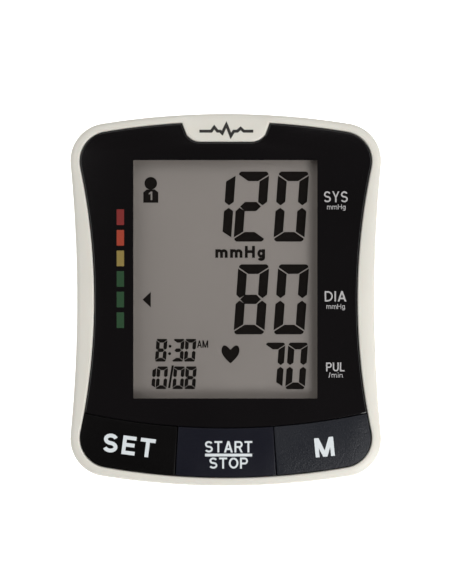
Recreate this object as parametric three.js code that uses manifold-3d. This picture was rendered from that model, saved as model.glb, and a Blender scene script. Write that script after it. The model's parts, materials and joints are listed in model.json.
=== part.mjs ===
// Upper arm blood pressure monitor: a wedge-shaped table unit with a large display, three keys,
// an air pump, a release valve and four AA cells. Millimetres, +Z up, the user at -Y.
// The face is a plane tilted towards the user. Face pieces are drawn in the face's own frame:
// x across, y up the face, z out of it, with z = 0 at the top of the rim.

import * as THREE from "three";
import { mergeVertices } from "three/addons/utils/BufferGeometryUtils.js";
import Module from "manifold-3d";

// ---------------------------------------------------------------- driving dimensions
const GAP = 0.3; // clearance between neighbouring pieces
const TILT = THREE.MathUtils.degToRad(12); // slope of the face, rising to the back
const FACE_HEIGHT = 40; // height of the face centre over the table
const OUTER = outlineOf(50.3, 62.9, 62.9, 469, 266, 266, 12.7); // outline of the whole face
const PANEL = outlineOf(44.5, 60.2, 60.2, 215, 248, 235, 10.1); // outline of the black panel
const BASE = outlineOf(49.4, 59.35, 59.35, 469, 266, 266, 12); // outline of the underside
const BASE_CENTRE_Y = 3.85;
const FOOT_HEIGHT = 2; // the case stands this far over the table
const WALL = 2.2; // wall of both shells
const FLOOR_TOP = FOOT_HEIGHT + 2;

// Levels in the face frame, measured down from the rim.
const RIM_EDGE = -1.8; // where the rim's rounding meets the wall
const LENS_TOP = -0.6;
const LENS_BOTTOM = -1.9;
const MASK_TOP = LENS_BOTTOM - GAP;
const MASK_BOTTOM = MASK_TOP - 0.3;
const PLATE_TOP = MASK_BOTTOM - GAP;
const PLATE_BOTTOM = PLATE_TOP - 2;
const GLASS_TOP = PLATE_BOTTOM - GAP;
const GLASS_BOTTOM = GLASS_TOP - 2.1;
const BOARD_TOP = -9;
const BOARD_BOTTOM = BOARD_TOP - 1.6;
const SKIRT_BOTTOM = -13; // lower edge of the front cover
const CASE_TOP = SKIRT_BOTTOM - GAP; // upper edge of the bottom case
const LIP_TOP = -11.8; // the bottom case's tongue inside the cover
const SCREW_SPLIT = -12.6; // where a case boss meets its cover boss

// Foremost and rearmost points, with y = 0 under the face centre. The origin lies midway.
const FOREMOST_Y = -OUTER.bottom * Math.cos(TILT) - RIM_EDGE * Math.sin(TILT);
const REARMOST_Y = OUTER.top * Math.cos(TILT) - CASE_TOP * Math.sin(TILT);

// Display, in the face frame.
const WINDOW = { left: -31.3, right: 31, bottom: -33.4, top: 47.3 };
const GLASS_BORDER = 2;
const GLASS_LEDGE = 5; // the glass runs this far below the window, for its contacts

// Key row, in the face frame.
const KEY_TOP = -0.5;
const KEY_BOTTOM = -2.1;
const KEY_TRAVEL = 0.6;
const KEY_SEAM = { centreY: -43.3, radius: 228, halfGap: 0.2 };
const KEY_SPLIT = { top: 16.2, bottom: 17.15, topY: -43.5, bottomY: -59.5, halfGap: 0.2 };
const KEYS = [
  { name: "set", stem: [-31.5, -50], hooks: [[-42.5, -48], [-21, -51]] },
  { name: "start_stop", stem: [0, -51.5], hooks: [[-12, -51.5], [12, -51.5]] },
  { name: "memory", stem: [31.5, -50], hooks: [[42.5, -48], [21, -51]] },
];

const STEM_RADIUS = 2.4;
const HOOK = { halfWidth: 0.6, halfDepth: 1.5, barbShift: 0.9, below: 1.2, grip: 0.4 };
const OPENING_MARGIN = 0.35; // between a stem or hook and its hole in the cover plate

// Tab at the top of the rim that reaches into the black panel.
const TAB = {
  halfTop: 14.8,
  halfShoulder: 13.3,
  shoulderY: 55.8,
  halfBend: 11.4,
  halfFlat: 8.6,
  flatY: 53.4,
};

// Fixings: x and y over the table.
const CASE_SCREWS = {
  front_left: [-43.4, -28],
  front_right: [43.4, -28],
  rear_left: [-42.6, 52.4],
  rear_right: [42.6, 52.4],
};
const FEET = {
  front_left: [-40, -45],
  front_right: [40, -45],
  rear_left: [-44, 42],
  rear_right: [44, 42],
};
const FOOT_RADIUS = 4;
const BOARD_SCREWS = [[-37, -41], [37, -41], [-37, 40], [37, 40]]; // in the face frame
const BOSS_RADIUS = 4.2;
const COVER_BOSS_RADIUS = 3.4;
const HEAD_POCKET_RADIUS = 2.8;
const SCREW_HOLE_RADIUS = 1.6;
const CASE_SCREW_HEAD = 1.8;
const BOARD_SCREW_HEAD = 1.4;
const SEAT_DEPTH = 4; // thickness of case boss that a screw clamps

// Battery bay, in the table frame.
const CELL_RADIUS = 7.1;
const CELL_LENGTH = 50;
const CELL_PITCH = 14.85;
const CELL_Z = 11.2;
const FIRST_CELL_Y = 5.45;
const BAY = { x0: -19, x1: 38, y0: -2, y1: 57.6, top: 18.7 };
const BAY_WALL = 1.3;
const CONTACT_THICKNESS = 0.4;
const DOOR_BOTTOM = FOOT_HEIGHT + 0.2;
const DOOR_TOP = DOOR_BOTTOM + 1.4;
const DOOR_MARGIN = 0.4;
const TONGUES_X = [0, 19];
const TONGUE = { halfWidth: 4, front: 55.4, tip: 59.4, top: 5, slotMargin: 0.4 };

// Air system, in the table frame.
const AIR = { y: -12, z: 14 }; // axis of the cuff socket and of the manifold
const BRANCH_X = -28; // pump and valve branches of the manifold
const SENSOR_X = -34;
const PUMP = { x: -33.6, z: 17, headFront: 6, headBack: 26, motorBack: 47.5 };
const DC_JACK = { y: -12, z: 11 };

// ---------------------------------------------------------------- finishes
const FINISHES = {
  ivory: { color: 0xe6e3da, roughness: 0.4, metalness: 0 },
  blackGloss: { color: 0x121011, roughness: 0.12, metalness: 0 },
  keyBlack: { color: 0x131419, roughness: 0.35, metalness: 0 },
  keyNavy: { color: 0x191c28, roughness: 0.35, metalness: 0 },
  keySlate: { color: 0x2a2e35, roughness: 0.4, metalness: 0 },
  clear: { color: 0x888582, roughness: 0.05, metalness: 0 },
  glass: { color: 0x7c7773, roughness: 0.2, metalness: 0 },
  white: { color: 0xe8e8e4, roughness: 0.5, metalness: 0 },
  board: { color: 0x1d5b34, roughness: 0.45, metalness: 0 },
  chip: { color: 0x1a1a1c, roughness: 0.5, metalness: 0 },
  rubber: { color: 0x2b2b2d, roughness: 0.8, metalness: 0 },
  silicone: { color: 0xd9d6cc, roughness: 0.5, metalness: 0 },
  steel: { color: 0xb9bcc0, roughness: 0.35, metalness: 1 },
  brass: { color: 0xb5924a, roughness: 0.35, metalness: 1 },
  cell: { color: 0x2f4f8f, roughness: 0.35, metalness: 0 },
};

// ---------------------------------------------------------------- outlines
// An outline with concave sides and bowed ends, as its driving numbers.
function outlineOf(waist, top, bottom, sideRadius, topRadius, bottomRadius, cornerRadius) {
  return { waist, top, bottom, sideRadius, topRadius, bottomRadius, cornerRadius };
}

// Points on an arc about (x, y), without the last one.
function arcPoints(x, y, radius, from, to, steps) {
  return Array.from({ length: steps }, (_, i) => {
    const angle = from + ((to - from) * i) / steps;
    return new THREE.Vector2(x + radius * Math.cos(angle), y + radius * Math.sin(angle));
  });
}

// One quarter of an outline, from the waist at (waist, 0) to the middle of the end at (0, end).
function quarterPoints(waist, end, sideRadius, endRadius, cornerRadius) {
  const side = new THREE.Vector2(waist + sideRadius, 0);
  const arch = new THREE.Vector2(0, end - endRadius);
  const toArch = endRadius - cornerRadius;
  const toSide = sideRadius + cornerRadius;
  const line = side.clone().sub(arch);
  const distance = line.length();
  const along = (toArch ** 2 - toSide ** 2 + distance ** 2) / (2 * distance);
  const across = Math.sqrt(toArch ** 2 - along ** 2);
  const unit = line.normalize();
  const corner = new THREE.Vector2(
    arch.x + unit.x * along - unit.y * across,
    arch.y + unit.y * along + unit.x * across,
  );
  const sideEnd = Math.atan2(corner.y - side.y, corner.x - side.x);
  const cornerStart = Math.atan2(side.y - corner.y, side.x - corner.x);
  const cornerEnd = Math.atan2(corner.y - arch.y, corner.x - arch.x);
  return [
    ...arcPoints(side.x, side.y, sideRadius, Math.PI, sideEnd, 3),
    ...arcPoints(corner.x, corner.y, cornerRadius, cornerStart, cornerEnd, 6),
    ...arcPoints(arch.x, arch.y, endRadius, cornerEnd, Math.PI / 2, 4),
  ];
}

// The whole outline, anticlockwise from the right waist, set in by inset.
function outlinePoints(outline, inset = 0) {
  const waist = outline.waist - inset;
  const sideRadius = outline.sideRadius + inset;
  const cornerRadius = outline.cornerRadius - inset;
  const upper = quarterPoints(
    waist, outline.top - inset, sideRadius, outline.topRadius - inset, cornerRadius,
  );
  const lower = quarterPoints(
    waist, outline.bottom - inset, sideRadius, outline.bottomRadius - inset, cornerRadius,
  );
  const topMiddle = new THREE.Vector2(0, outline.top - inset);
  const bottomMiddle = new THREE.Vector2(0, inset - outline.bottom);
  const flip = (points, sx, sy) => points.map((p) => new THREE.Vector2(p.x * sx, p.y * sy));
  return [
    ...upper,
    topMiddle,
    ...flip(upper.slice(1), -1, 1).reverse(),
    new THREE.Vector2(-waist, 0),
    ...flip(lower.slice(1), -1, -1),
    bottomMiddle,
    ...flip(lower.slice(1), 1, -1).reverse(),
  ];
}

// ---------------------------------------------------------------- solids
const wasm = await Module();
wasm.setup();

const FACE_FRAME = new THREE.Matrix4().makeRotationX(TILT).setPosition(0, 0, FACE_HEIGHT);
const INTO_FACE_FRAME = FACE_FRAME.clone().invert();

// Height over the table of the plane at a face level, at a given y.
function levelHeight(level, y) {
  return FACE_HEIGHT + y * Math.tan(TILT) + level / Math.cos(TILT);
}

function toSolid(geometry) {
  const bare = geometry.clone();
  bare.deleteAttribute("normal");
  bare.deleteAttribute("uv");
  const merged = mergeVertices(bare, 1e-4);
  const mesh = new wasm.Mesh({
    numProp: 3,
    vertProperties: new Float32Array(merged.attributes.position.array),
    triVerts: new Uint32Array(merged.index.array),
  });
  return new wasm.Manifold(mesh);
}

function toGeometry(solid) {
  const mesh = solid.getMesh();
  const geometry = new THREE.BufferGeometry();
  geometry.setAttribute("position", new THREE.BufferAttribute(mesh.vertProperties, 3));
  geometry.setIndex(new THREE.BufferAttribute(mesh.triVerts, 1));
  return geometry;
}

function join(geometries) {
  return toGeometry(geometries.map(toSolid).reduce((sum, next) => sum.add(next)));
}

function cut(geometry, tools) {
  return toGeometry(tools.map(toSolid).reduce((rest, tool) => rest.subtract(tool), toSolid(geometry)));
}

function common(geometries) {
  return toGeometry(geometries.map(toSolid).reduce((rest, next) => rest.intersect(next)));
}

// A closed skin through rings of equal length, with a fan over the first and the last ring.
function loft(rings) {
  const count = rings[0].length;
  const middle = (ring) => ring.reduce((sum, p) => sum.add(p), new THREE.Vector3()).divideScalar(count);
  const points = [...rings.flat(), middle(rings[0]), middle(rings[rings.length - 1])];
  const startFan = rings.length * count;
  const lastRing = startFan - count;
  const faces = [];
  for (let i = 0; i < count; i++) {
    const next = (i + 1) % count;
    faces.push(startFan, next, i);
    faces.push(startFan + 1, lastRing + i, lastRing + next);
    for (let base = 0; base < lastRing; base += count) {
      faces.push(base + i, base + next, base + count + next);
      faces.push(base + i, base + count + next, base + count + i);
    }
  }
  return new THREE.BufferGeometry().setFromPoints(points).setIndex(faces);
}

// A ring of an outline at a level of the face, in the face frame.
function faceRing(outline, inset, level) {
  return outlinePoints(outline, inset).map((p) => new THREE.Vector3(p.x, p.y, level));
}

// The same ring in the table frame.
function raisedRing(outline, inset, level) {
  return faceRing(outline, inset, level).map((p) => p.applyMatrix4(FACE_FRAME));
}

// A level ring of the underside's outline, in the table frame.
function baseRing(inset, z) {
  return outlinePoints(BASE, inset).map((p) => new THREE.Vector3(p.x, p.y + BASE_CENTRE_Y, z));
}

function box(x0, x1, y0, y1, z0, z1) {
  const geometry = new THREE.BoxGeometry(x1 - x0, y1 - y0, z1 - z0);
  return geometry.translate((x0 + x1) / 2, (y0 + y1) / 2, (z0 + z1) / 2);
}

// A cylinder from start to end along an axis; a and b are its place on the other two axes.
function rod(axis, start, end, a, b, radius, sides = 16) {
  const geometry = new THREE.CylinderGeometry(radius, radius, end - start, sides);
  const middle = (start + end) / 2;
  if (axis === "x") {
    return geometry.rotateZ(Math.PI / 2).translate(middle, a, b);
  }
  if (axis === "y") {
    return geometry.translate(a, middle, b);
  }
  return geometry.rotateX(Math.PI / 2).translate(a, b, middle);
}

// A turned piece standing on z = 0; the profile is (radius, height) pairs from axis to axis.
function turned(profile, sides = 16) {
  const points = profile.map(([radius, height]) => new THREE.Vector2(radius, height));
  return new THREE.LatheGeometry(points, sides).rotateX(Math.PI / 2);
}

// A flat plate of an outline given by points, between two heights.
function plate(points, bottom, top) {
  const options = { depth: top - bottom, bevelEnabled: false, steps: 1 };
  return new THREE.ExtrudeGeometry(new THREE.Shape(points), options).translate(0, 0, bottom);
}

// A straight hose along an axis.
function hose(axis, start, end, a, b, outer, inner) {
  const bore = rod(axis, start - 1, end + 1, a, b, inner, 12);
  return cut(rod(axis, start, end, a, b, outer, 12), [bore]);
}

// ---------------------------------------------------------------- scene helpers
const monitor = new THREE.Group();
monitor.position.y = -(FOREMOST_Y + REARMOST_Y) / 2;
const face = new THREE.Group();
face.position.z = FACE_HEIGHT;
face.rotation.x = TILT;
monitor.add(face);

function addPiece(group, name, geometry, finish) {
  const mesh = new THREE.Mesh(geometry, new THREE.MeshStandardMaterial(FINISHES[finish]));
  mesh.name = name;
  group.add(mesh);
  return mesh;
}

// ---------------------------------------------------------------- front cover
// The tab's outline, spread outwards.
function tabPoints(spread) {
  const shape = new THREE.Shape();
  const topY = 61.5; // inside the rim
  const rootY = 59.6; // where the tab's sides leave the rim
  const flatY = TAB.flatY - spread;
  const [halfTop, halfShoulder, halfBend] = [TAB.halfTop, TAB.halfShoulder, TAB.halfBend].map(
    (half) => half + spread,
  );
  shape.moveTo(-halfTop, topY);
  shape.lineTo(-halfTop, rootY);
  shape.lineTo(-halfShoulder, TAB.shoulderY);
  shape.quadraticCurveTo(-halfBend, flatY, -TAB.halfFlat, flatY);
  shape.lineTo(TAB.halfFlat, flatY);
  shape.quadraticCurveTo(halfBend, flatY, halfShoulder, TAB.shoulderY);
  shape.lineTo(halfTop, rootY);
  shape.lineTo(halfTop, topY);
  return shape.getPoints(4);
}

function coverBosses() {
  const top = (y) => levelHeight((PLATE_TOP + PLATE_BOTTOM) / 2, y);
  const upright = Object.values(CASE_SCREWS).map(([x, y]) =>
    rod("z", levelHeight(SCREW_SPLIT, y) + GAP, top(y), x, y, COVER_BOSS_RADIUS, 14)
      .applyMatrix4(INTO_FACE_FRAME),
  );
  const posts = BOARD_SCREWS.map(([x, y]) =>
    rod("z", BOARD_TOP + GAP, PLATE_BOTTOM + 1, x, y, 2.1, 12),
  );
  return [...upright, ...posts];
}

function coverHoles() {
  const pilots = Object.values(CASE_SCREWS).map(([x, y]) => {
    const from = levelHeight(SCREW_SPLIT, y) - 1;
    return rod("z", from, from + 8.2, x, y, SCREW_HOLE_RADIUS, 12).applyMatrix4(INTO_FACE_FRAME);
  });
  const boardPilots = BOARD_SCREWS.map(([x, y]) =>
    rod("z", BOARD_TOP - 1, PLATE_BOTTOM - 0.4, x, y, 1.3, 10),
  );
  const window = box(
    WINDOW.left - 0.7, WINDOW.right + 0.7, WINDOW.bottom - 0.7, WINDOW.top + 0.7,
    PLATE_BOTTOM - 1, PLATE_TOP + 1,
  );
  return [...pilots, ...boardPilots, window, ...KEYS.flatMap(keyOpenings)];
}

// Holes in the cover plate for a key's stem and its two snap hooks.
function keyOpenings({ stem, hooks }) {
  const [low, high] = [PLATE_BOTTOM - 1, PLATE_TOP + 1];
  const halfWidth = HOOK.halfWidth + OPENING_MARGIN;
  const halfDepth = HOOK.halfDepth + OPENING_MARGIN;
  const stemHole = rod("z", low, high, stem[0], stem[1], STEM_RADIUS + OPENING_MARGIN, 14);
  const slots = hooks.map(([x, y]) =>
    box(x - halfWidth, x + halfWidth, y - halfDepth, y + halfDepth, low, high),
  );
  return [stemHole, ...slots];
}

function frontCover() {
  const skin = loft([
    faceRing(OUTER, WALL, PLATE_BOTTOM),
    faceRing(OUTER, WALL, SKIRT_BOTTOM),
    faceRing(OUTER, 0, SKIRT_BOTTOM),
    faceRing(OUTER, 0, RIM_EDGE),
    faceRing(OUTER, 0.5, -0.5),
    faceRing(OUTER, 1.7, 0),
    faceRing(PANEL, -0.5, 0),
    faceRing(PANEL, 0, -0.5),
    faceRing(PANEL, 0, PLATE_TOP),
  ]);
  const tab = plate(tabPoints(0), PLATE_TOP - 0.5, 0);
  return cut(join([skin, tab, ...coverBosses()]), coverHoles());
}

// ---------------------------------------------------------------- panel, keys and display
// Everything below the arc that parts the panel from the keys, moved down by drop.
function keyRowPrism(drop) {
  const { centreY, radius } = KEY_SEAM;
  const reach = Math.asin(56 / radius);
  const start = -Math.PI / 2 - reach;
  const step = reach / 6;
  const arc = arcPoints(0, centreY + radius, radius + drop, start, start + 13 * step, 13);
  const floor = [new THREE.Vector2(56, -70), new THREE.Vector2(-56, -70)];
  return plate([...arc, ...floor].reverse(), PLATE_BOTTOM, 1);
}

// The panel's outline above the keys and round the tab, between two levels.
function panelPlate(bottom, top) {
  const body = plate(outlinePoints(PANEL, GAP), bottom, top);
  return cut(body, [keyRowPrism(-KEY_SEAM.halfGap), plate(tabPoints(GAP), -5, 1)]);
}

function windowMask() {
  const opening = box(WINDOW.left, WINDOW.right, WINDOW.bottom, WINDOW.top, -5, 1);
  return cut(panelPlate(MASK_BOTTOM, MASK_TOP), [opening]);
}

// The column between the slanted seams on the two sides of a key.
function keyColumn(index) {
  const { top, bottom, topY, bottomY, halfGap } = KEY_SPLIT;
  const seamX = (side, y) => side * (top + ((bottom - top) * (topY - y)) / (topY - bottomY));
  const beyond = 60; // past the end of the row
  const leftX = (y) => (index === 0 ? -beyond : seamX(index === 1 ? -1 : 1, y) + halfGap);
  const rightX = (y) => (index === 2 ? beyond : seamX(index === 0 ? -1 : 1, y) - halfGap);
  const high = -30;
  const low = -66;
  const corners = [
    new THREE.Vector2(leftX(low), low),
    new THREE.Vector2(rightX(low), low),
    new THREE.Vector2(rightX(high), high),
    new THREE.Vector2(leftX(high), high),
  ];
  return plate(corners, -5, 1);
}

function keyHook([x, y]) {
  const { halfWidth, halfDepth, barbShift, below, grip } = HOOK;
  const upright = (middle, top) =>
    box(middle - halfWidth, middle + halfWidth, y - halfDepth, y + halfDepth, PLATE_BOTTOM - below, top);
  return [upright(x, KEY_BOTTOM + 0.5), upright(x + Math.sign(x) * barbShift, PLATE_BOTTOM - grip)];
}

function keyCap(index) {
  const { stem, hooks } = KEYS[index];
  const sheet = plate(outlinePoints(PANEL, GAP), KEY_BOTTOM, KEY_TOP);
  const cap = common([sheet, keyRowPrism(KEY_SEAM.halfGap), keyColumn(index)]);
  const post = rod("z", PLATE_BOTTOM, KEY_BOTTOM + 0.5, stem[0], stem[1], STEM_RADIUS, 14);
  return join([cap, post, ...hooks.flatMap(keyHook)]);
}

const SWITCH_TOP = PLATE_BOTTOM - 1;
const SWITCH_BOTTOM = BOARD_TOP + GAP;

function switchBody() {
  const body = box(-3, 3, -3, 3, SWITCH_BOTTOM, SWITCH_TOP);
  return cut(body, [rod("z", SWITCH_BOTTOM + 0.4, SWITCH_TOP + 1, 0, 0, 2, 14)]);
}

function switchPlunger() {
  return rod("z", SWITCH_BOTTOM + 0.4 + GAP + KEY_TRAVEL, PLATE_BOTTOM - GAP, 0, 0, 1.65, 12);
}

// The glass cell's rectangle, spread outwards.
function glassBox(spread, bottom, top) {
  return box(
    WINDOW.left - GLASS_BORDER - spread,
    WINDOW.right + GLASS_BORDER + spread,
    WINDOW.bottom - GLASS_LEDGE - spread,
    WINDOW.top + GLASS_BORDER + spread,
    bottom,
    top,
  );
}

function lcdFrame() {
  const bottom = BOARD_TOP + GAP;
  const pocketFloor = GLASS_BOTTOM - GAP;
  const window = box(
    WINDOW.left + 0.3, WINDOW.right - 0.3, WINDOW.bottom - GLASS_LEDGE - GAP, WINDOW.top - 0.3,
    bottom - 1, 0,
  );
  return cut(glassBox(1.2, bottom, GLASS_TOP), [glassBox(GAP, pocketFloor, 0), window]);
}

function zebraStrip() {
  const middle = WINDOW.bottom - GLASS_LEDGE + 1.5;
  const bottom = BOARD_TOP + GAP;
  return box(
    WINDOW.left + 1.3, WINDOW.right - 1.3, middle - 1.2, middle + 1.2, bottom, GLASS_BOTTOM - GAP,
  );
}

// ---------------------------------------------------------------- board
function mainBoard() {
  const board = box(-39.3, 39.3, -56.5, 50.3, BOARD_BOTTOM, BOARD_TOP);
  const holes = BOARD_SCREWS.map(([x, y]) => rod("z", BOARD_BOTTOM - 1, BOARD_TOP + 1, x, y, 1.3, 10));
  return cut(board, holes);
}

function boardScrew() {
  const [head, shank] = [2, 0.95];
  const height = BOARD_SCREW_HEAD;
  return turned([[0, 0], [head, 0], [head, height], [shank, height], [shank, 6.6], [0, 7]], 10);
}

function pressureSensor() {
  const top = BOARD_BOTTOM - GAP;
  const body = box(-4, 4, -4, 4, top - 3.6, top);
  return join([body, rod("z", top - 6.4, top - 3, 0, 0, 1.4, 10)]);
}

function addFacePieces() {
  addPiece(face, "front_cover", frontCover(), "ivory");
  addPiece(face, "display_lens", panelPlate(LENS_BOTTOM, LENS_TOP), "clear");
  addPiece(face, "window_mask", windowMask(), "blackGloss");
  addPiece(face, "lcd_glass", glassBox(0, GLASS_BOTTOM, GLASS_TOP), "glass");
  addPiece(face, "lcd_frame", lcdFrame(), "white");
  addPiece(face, "zebra_strip", zebraStrip(), "rubber");
  const keyFinishes = ["keyBlack", "keyNavy", "keySlate"];
  KEYS.forEach(({ name, stem }, index) => {
    addPiece(face, name + "_button", keyCap(index), keyFinishes[index]);
    addPiece(face, name + "_switch", switchBody(), "chip").position.set(stem[0], stem[1], 0);
    const plunger = addPiece(face, name + "_switch_plunger", switchPlunger(), "steel");
    plunger.position.set(stem[0], stem[1], 0);
  });
}

function addBoardPieces() {
  const under = BOARD_BOTTOM - GAP;
  addPiece(face, "main_board", mainBoard(), "board");
  BOARD_SCREWS.forEach(([x, y], index) => {
    const screw = addPiece(face, "board_screw_" + (index + 1), boardScrew(), "steel");
    screw.position.set(x, y, under - BOARD_SCREW_HEAD);
  });
  addPiece(face, "controller_chip", box(1, 15, -8, 6, under - 1.5, under), "chip");
  addPiece(face, "buzzer", rod("z", under - 4, under, 18, -22, 6, 18), "chip");
  addPiece(face, "capacitor", rod("z", under - 7.5, under, 30, -20, 3.2, 14), "steel");
  const sensorY = (AIR.y - 16.5 * Math.sin(TILT)) / Math.cos(TILT);
  const sensor = addPiece(face, "pressure_sensor", pressureSensor(), "white");
  sensor.position.set(SENSOR_X, sensorY, 0);
}

// ---------------------------------------------------------------- bottom case
function caseShell() {
  return loft([
    baseRing(1.5, FOOT_HEIGHT),
    baseRing(0, FOOT_HEIGHT + 1.5),
    raisedRing(OUTER, 0, CASE_TOP),
    raisedRing(OUTER, WALL + GAP, CASE_TOP),
    raisedRing(OUTER, WALL + GAP, LIP_TOP),
    raisedRing(OUTER, WALL + 1.5, LIP_TOP),
    raisedRing(OUTER, WALL + 1.5, CASE_TOP - 2),
    baseRing(2.4, FLOOR_TOP),
  ]);
}

function caseFittings() {
  const inFloor = FLOOR_TOP - 0.1;
  const bay = box(
    BAY.x0 - BAY_WALL, BAY.x1 + BAY_WALL, BAY.y0 - BAY_WALL, BAY.y1 + BAY_WALL,
    inFloor, BAY.top + 1.5,
  );
  const bosses = Object.values(CASE_SCREWS).map(([x, y]) =>
    rod("z", inFloor, levelHeight(SCREW_SPLIT, y), x, y, BOSS_RADIUS, 18),
  );
  const valveStand = box(-34, -22, -37, -26, inFloor, 7.4);
  const saddle = cut(box(-46.5, -20.6, 36, 41, inFloor, 12), [
    rod("y", 30, 50, PUMP.x, PUMP.z, 13, 24),
  ]);
  return [bay, ...bosses, valveStand, saddle];
}

function caseHoles() {
  const below = FOOT_HEIGHT - 1;
  const cavity = box(BAY.x0, BAY.x1, BAY.y0, BAY.y1, below, BAY.top);
  const screwHoles = Object.values(CASE_SCREWS).flatMap(([x, y]) => {
    const top = levelHeight(SCREW_SPLIT, y);
    return [
      rod("z", below, top - SEAT_DEPTH, x, y, HEAD_POCKET_RADIUS, 16),
      rod("z", below, top + 1, x, y, SCREW_HOLE_RADIUS, 12),
    ];
  });
  const footPockets = Object.values(FEET).map(([x, y]) =>
    rod("z", below, FOOT_HEIGHT + 1, x, y, FOOT_RADIUS + GAP, 20),
  );
  const slotHalf = TONGUE.halfWidth + TONGUE.slotMargin;
  const tongueSlots = TONGUES_X.map((x) =>
    box(x - slotHalf, x + slotHalf, BAY.y1 - 0.5, BAY.y1 + BAY_WALL + 0.1, FLOOR_TOP, 6.3),
  );
  const socketHole = rod("x", -56, -44, AIR.y, AIR.z, 4.3 + GAP, 18);
  const jackHole = rod("x", 44, 56, DC_JACK.y, DC_JACK.z, 3.4 + GAP, 16);
  return [cavity, ...screwHoles, ...footPockets, ...tongueSlots, socketHole, jackHole];
}

function batteryDoor() {
  const back = BAY.y1 - DOOR_MARGIN;
  const leaf = box(
    BAY.x0 + DOOR_MARGIN, BAY.x1 - DOOR_MARGIN, BAY.y0 + DOOR_MARGIN, back, DOOR_BOTTOM, DOOR_TOP,
  );
  const { halfWidth, front, tip, top } = TONGUE;
  const tongues = TONGUES_X.flatMap((x) => [
    box(x - halfWidth, x + halfWidth, front, back, DOOR_TOP - 0.2, top),
    box(x - halfWidth, x + halfWidth, front, tip, FLOOR_TOP + GAP, top),
  ]);
  const fingerDip = box(3, 16, 0.5, 6.5, DOOR_BOTTOM - 1, DOOR_BOTTOM + 0.6);
  return cut(join([leaf, ...tongues]), [fingerDip]);
}

function caseScrew() {
  const [head, shank] = [2.5, 1.3];
  const height = CASE_SCREW_HEAD;
  const end = height + SEAT_DEPTH + GAP + 6.5;
  return turned([[0, 0], [head, 0], [head, height], [shank, height], [shank, end], [0, end + 0.8]], 12);
}

function foot() {
  const inset = 0.4;
  const top = FOOT_HEIGHT + 0.7;
  return turned([[0, 0], [FOOT_RADIUS - inset, 0], [FOOT_RADIUS, 0.5], [FOOT_RADIUS, top], [0, top]], 20);
}

function addCasePieces() {
  addPiece(monitor, "bottom_case", cut(join([caseShell(), ...caseFittings()]), caseHoles()), "ivory");
  addPiece(monitor, "battery_door", batteryDoor(), "ivory");
  for (const [corner, [x, y]] of Object.entries(CASE_SCREWS)) {
    const seat = levelHeight(SCREW_SPLIT, y) - SEAT_DEPTH;
    const screw = addPiece(monitor, "case_screw_" + corner, caseScrew(), "steel");
    screw.position.set(x, y, seat - CASE_SCREW_HEAD - GAP);
  }
  for (const [corner, [x, y]] of Object.entries(FEET)) {
    addPiece(monitor, "foot_" + corner, foot(), "rubber").position.set(x, y, 0);
  }
}

// ---------------------------------------------------------------- batteries
// An AA cell standing on its flat end at z = 0.
function cell() {
  const shoulder = CELL_LENGTH - 1.1;
  return turned([
    [0, 0], [6.7, 0], [CELL_RADIUS, 0.5], [CELL_RADIUS, shoulder - 0.8], [6.4, shoulder],
    [2.75, shoulder], [2.75, CELL_LENGTH], [0, CELL_LENGTH],
  ], 20);
}

class ContactCoil extends THREE.Curve {
  constructor(radius, length, turns) {
    super();
    this.radius = radius;
    this.length = length;
    this.turns = turns;
  }

  getPoint(t, target = new THREE.Vector3()) {
    const angle = t * this.turns * Math.PI * 2;
    const radius = this.radius * (1 - 0.25 * t);
    return target.set(radius * Math.cos(angle), radius * Math.sin(angle), t * this.length);
  }
}

// A tapered contact spring standing on z = 0.
function contactSpring(length) {
  const wire = 0.4;
  const section = new THREE.Shape(arcPoints(0, 0, wire, 0, Math.PI * 2, 5));
  const coil = new ContactCoil(3.4, length - 2.6 * wire, 3);
  const options = { steps: 30, bevelEnabled: false, extrudePath: coil };
  return new THREE.ExtrudeGeometry(section, options).translate(0, 0, 1.3 * wire);
}

function contactPlate(x, fromCell, toCell) {
  const y0 = FIRST_CELL_Y + fromCell * CELL_PITCH - 4;
  const y1 = FIRST_CELL_Y + toCell * CELL_PITCH + 4;
  return box(x, x + CONTACT_THICKNESS, y0, y1, 6, 16.4);
}

// Cells lie along x, side by side, and point right and left in turn.
function addBatteries() {
  const leftPlate = BAY.x0 + GAP;
  const rightPlate = BAY.x1 - GAP - CONTACT_THICKNESS;
  const leftEnd = leftPlate + CONTACT_THICKNESS + GAP;
  const rightEnd = rightPlate - GAP;
  const springLength = rightEnd - leftEnd - CELL_LENGTH - GAP;
  for (let i = 0; i < 4; i++) {
    const pointsRight = i % 2 === 0;
    const y = FIRST_CELL_Y + i * CELL_PITCH;
    const turn = pointsRight ? Math.PI / 2 : -Math.PI / 2;
    const battery = addPiece(monitor, "battery_" + (i + 1), cell(), "cell");
    battery.position.set(pointsRight ? rightEnd - CELL_LENGTH : leftEnd + CELL_LENGTH, y, CELL_Z);
    battery.rotation.y = turn;
    const spring = addPiece(monitor, "contact_spring_" + (i + 1), contactSpring(springLength), "steel");
    spring.position.set(pointsRight ? leftEnd : rightEnd, y, CELL_Z);
    spring.rotation.y = turn;
  }
  addPiece(monitor, "contact_plate_1_2", contactPlate(leftPlate, 0, 1), "steel");
  addPiece(monitor, "contact_plate_3_4", contactPlate(leftPlate, 2, 3), "steel");
  addPiece(monitor, "contact_plate_2_3", contactPlate(rightPlate, 1, 2), "steel");
  addPiece(monitor, "contact_plate_positive", contactPlate(rightPlate, 0, 0), "steel");
  addPiece(monitor, "contact_plate_negative", contactPlate(rightPlate, 3, 3), "steel");
}

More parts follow.
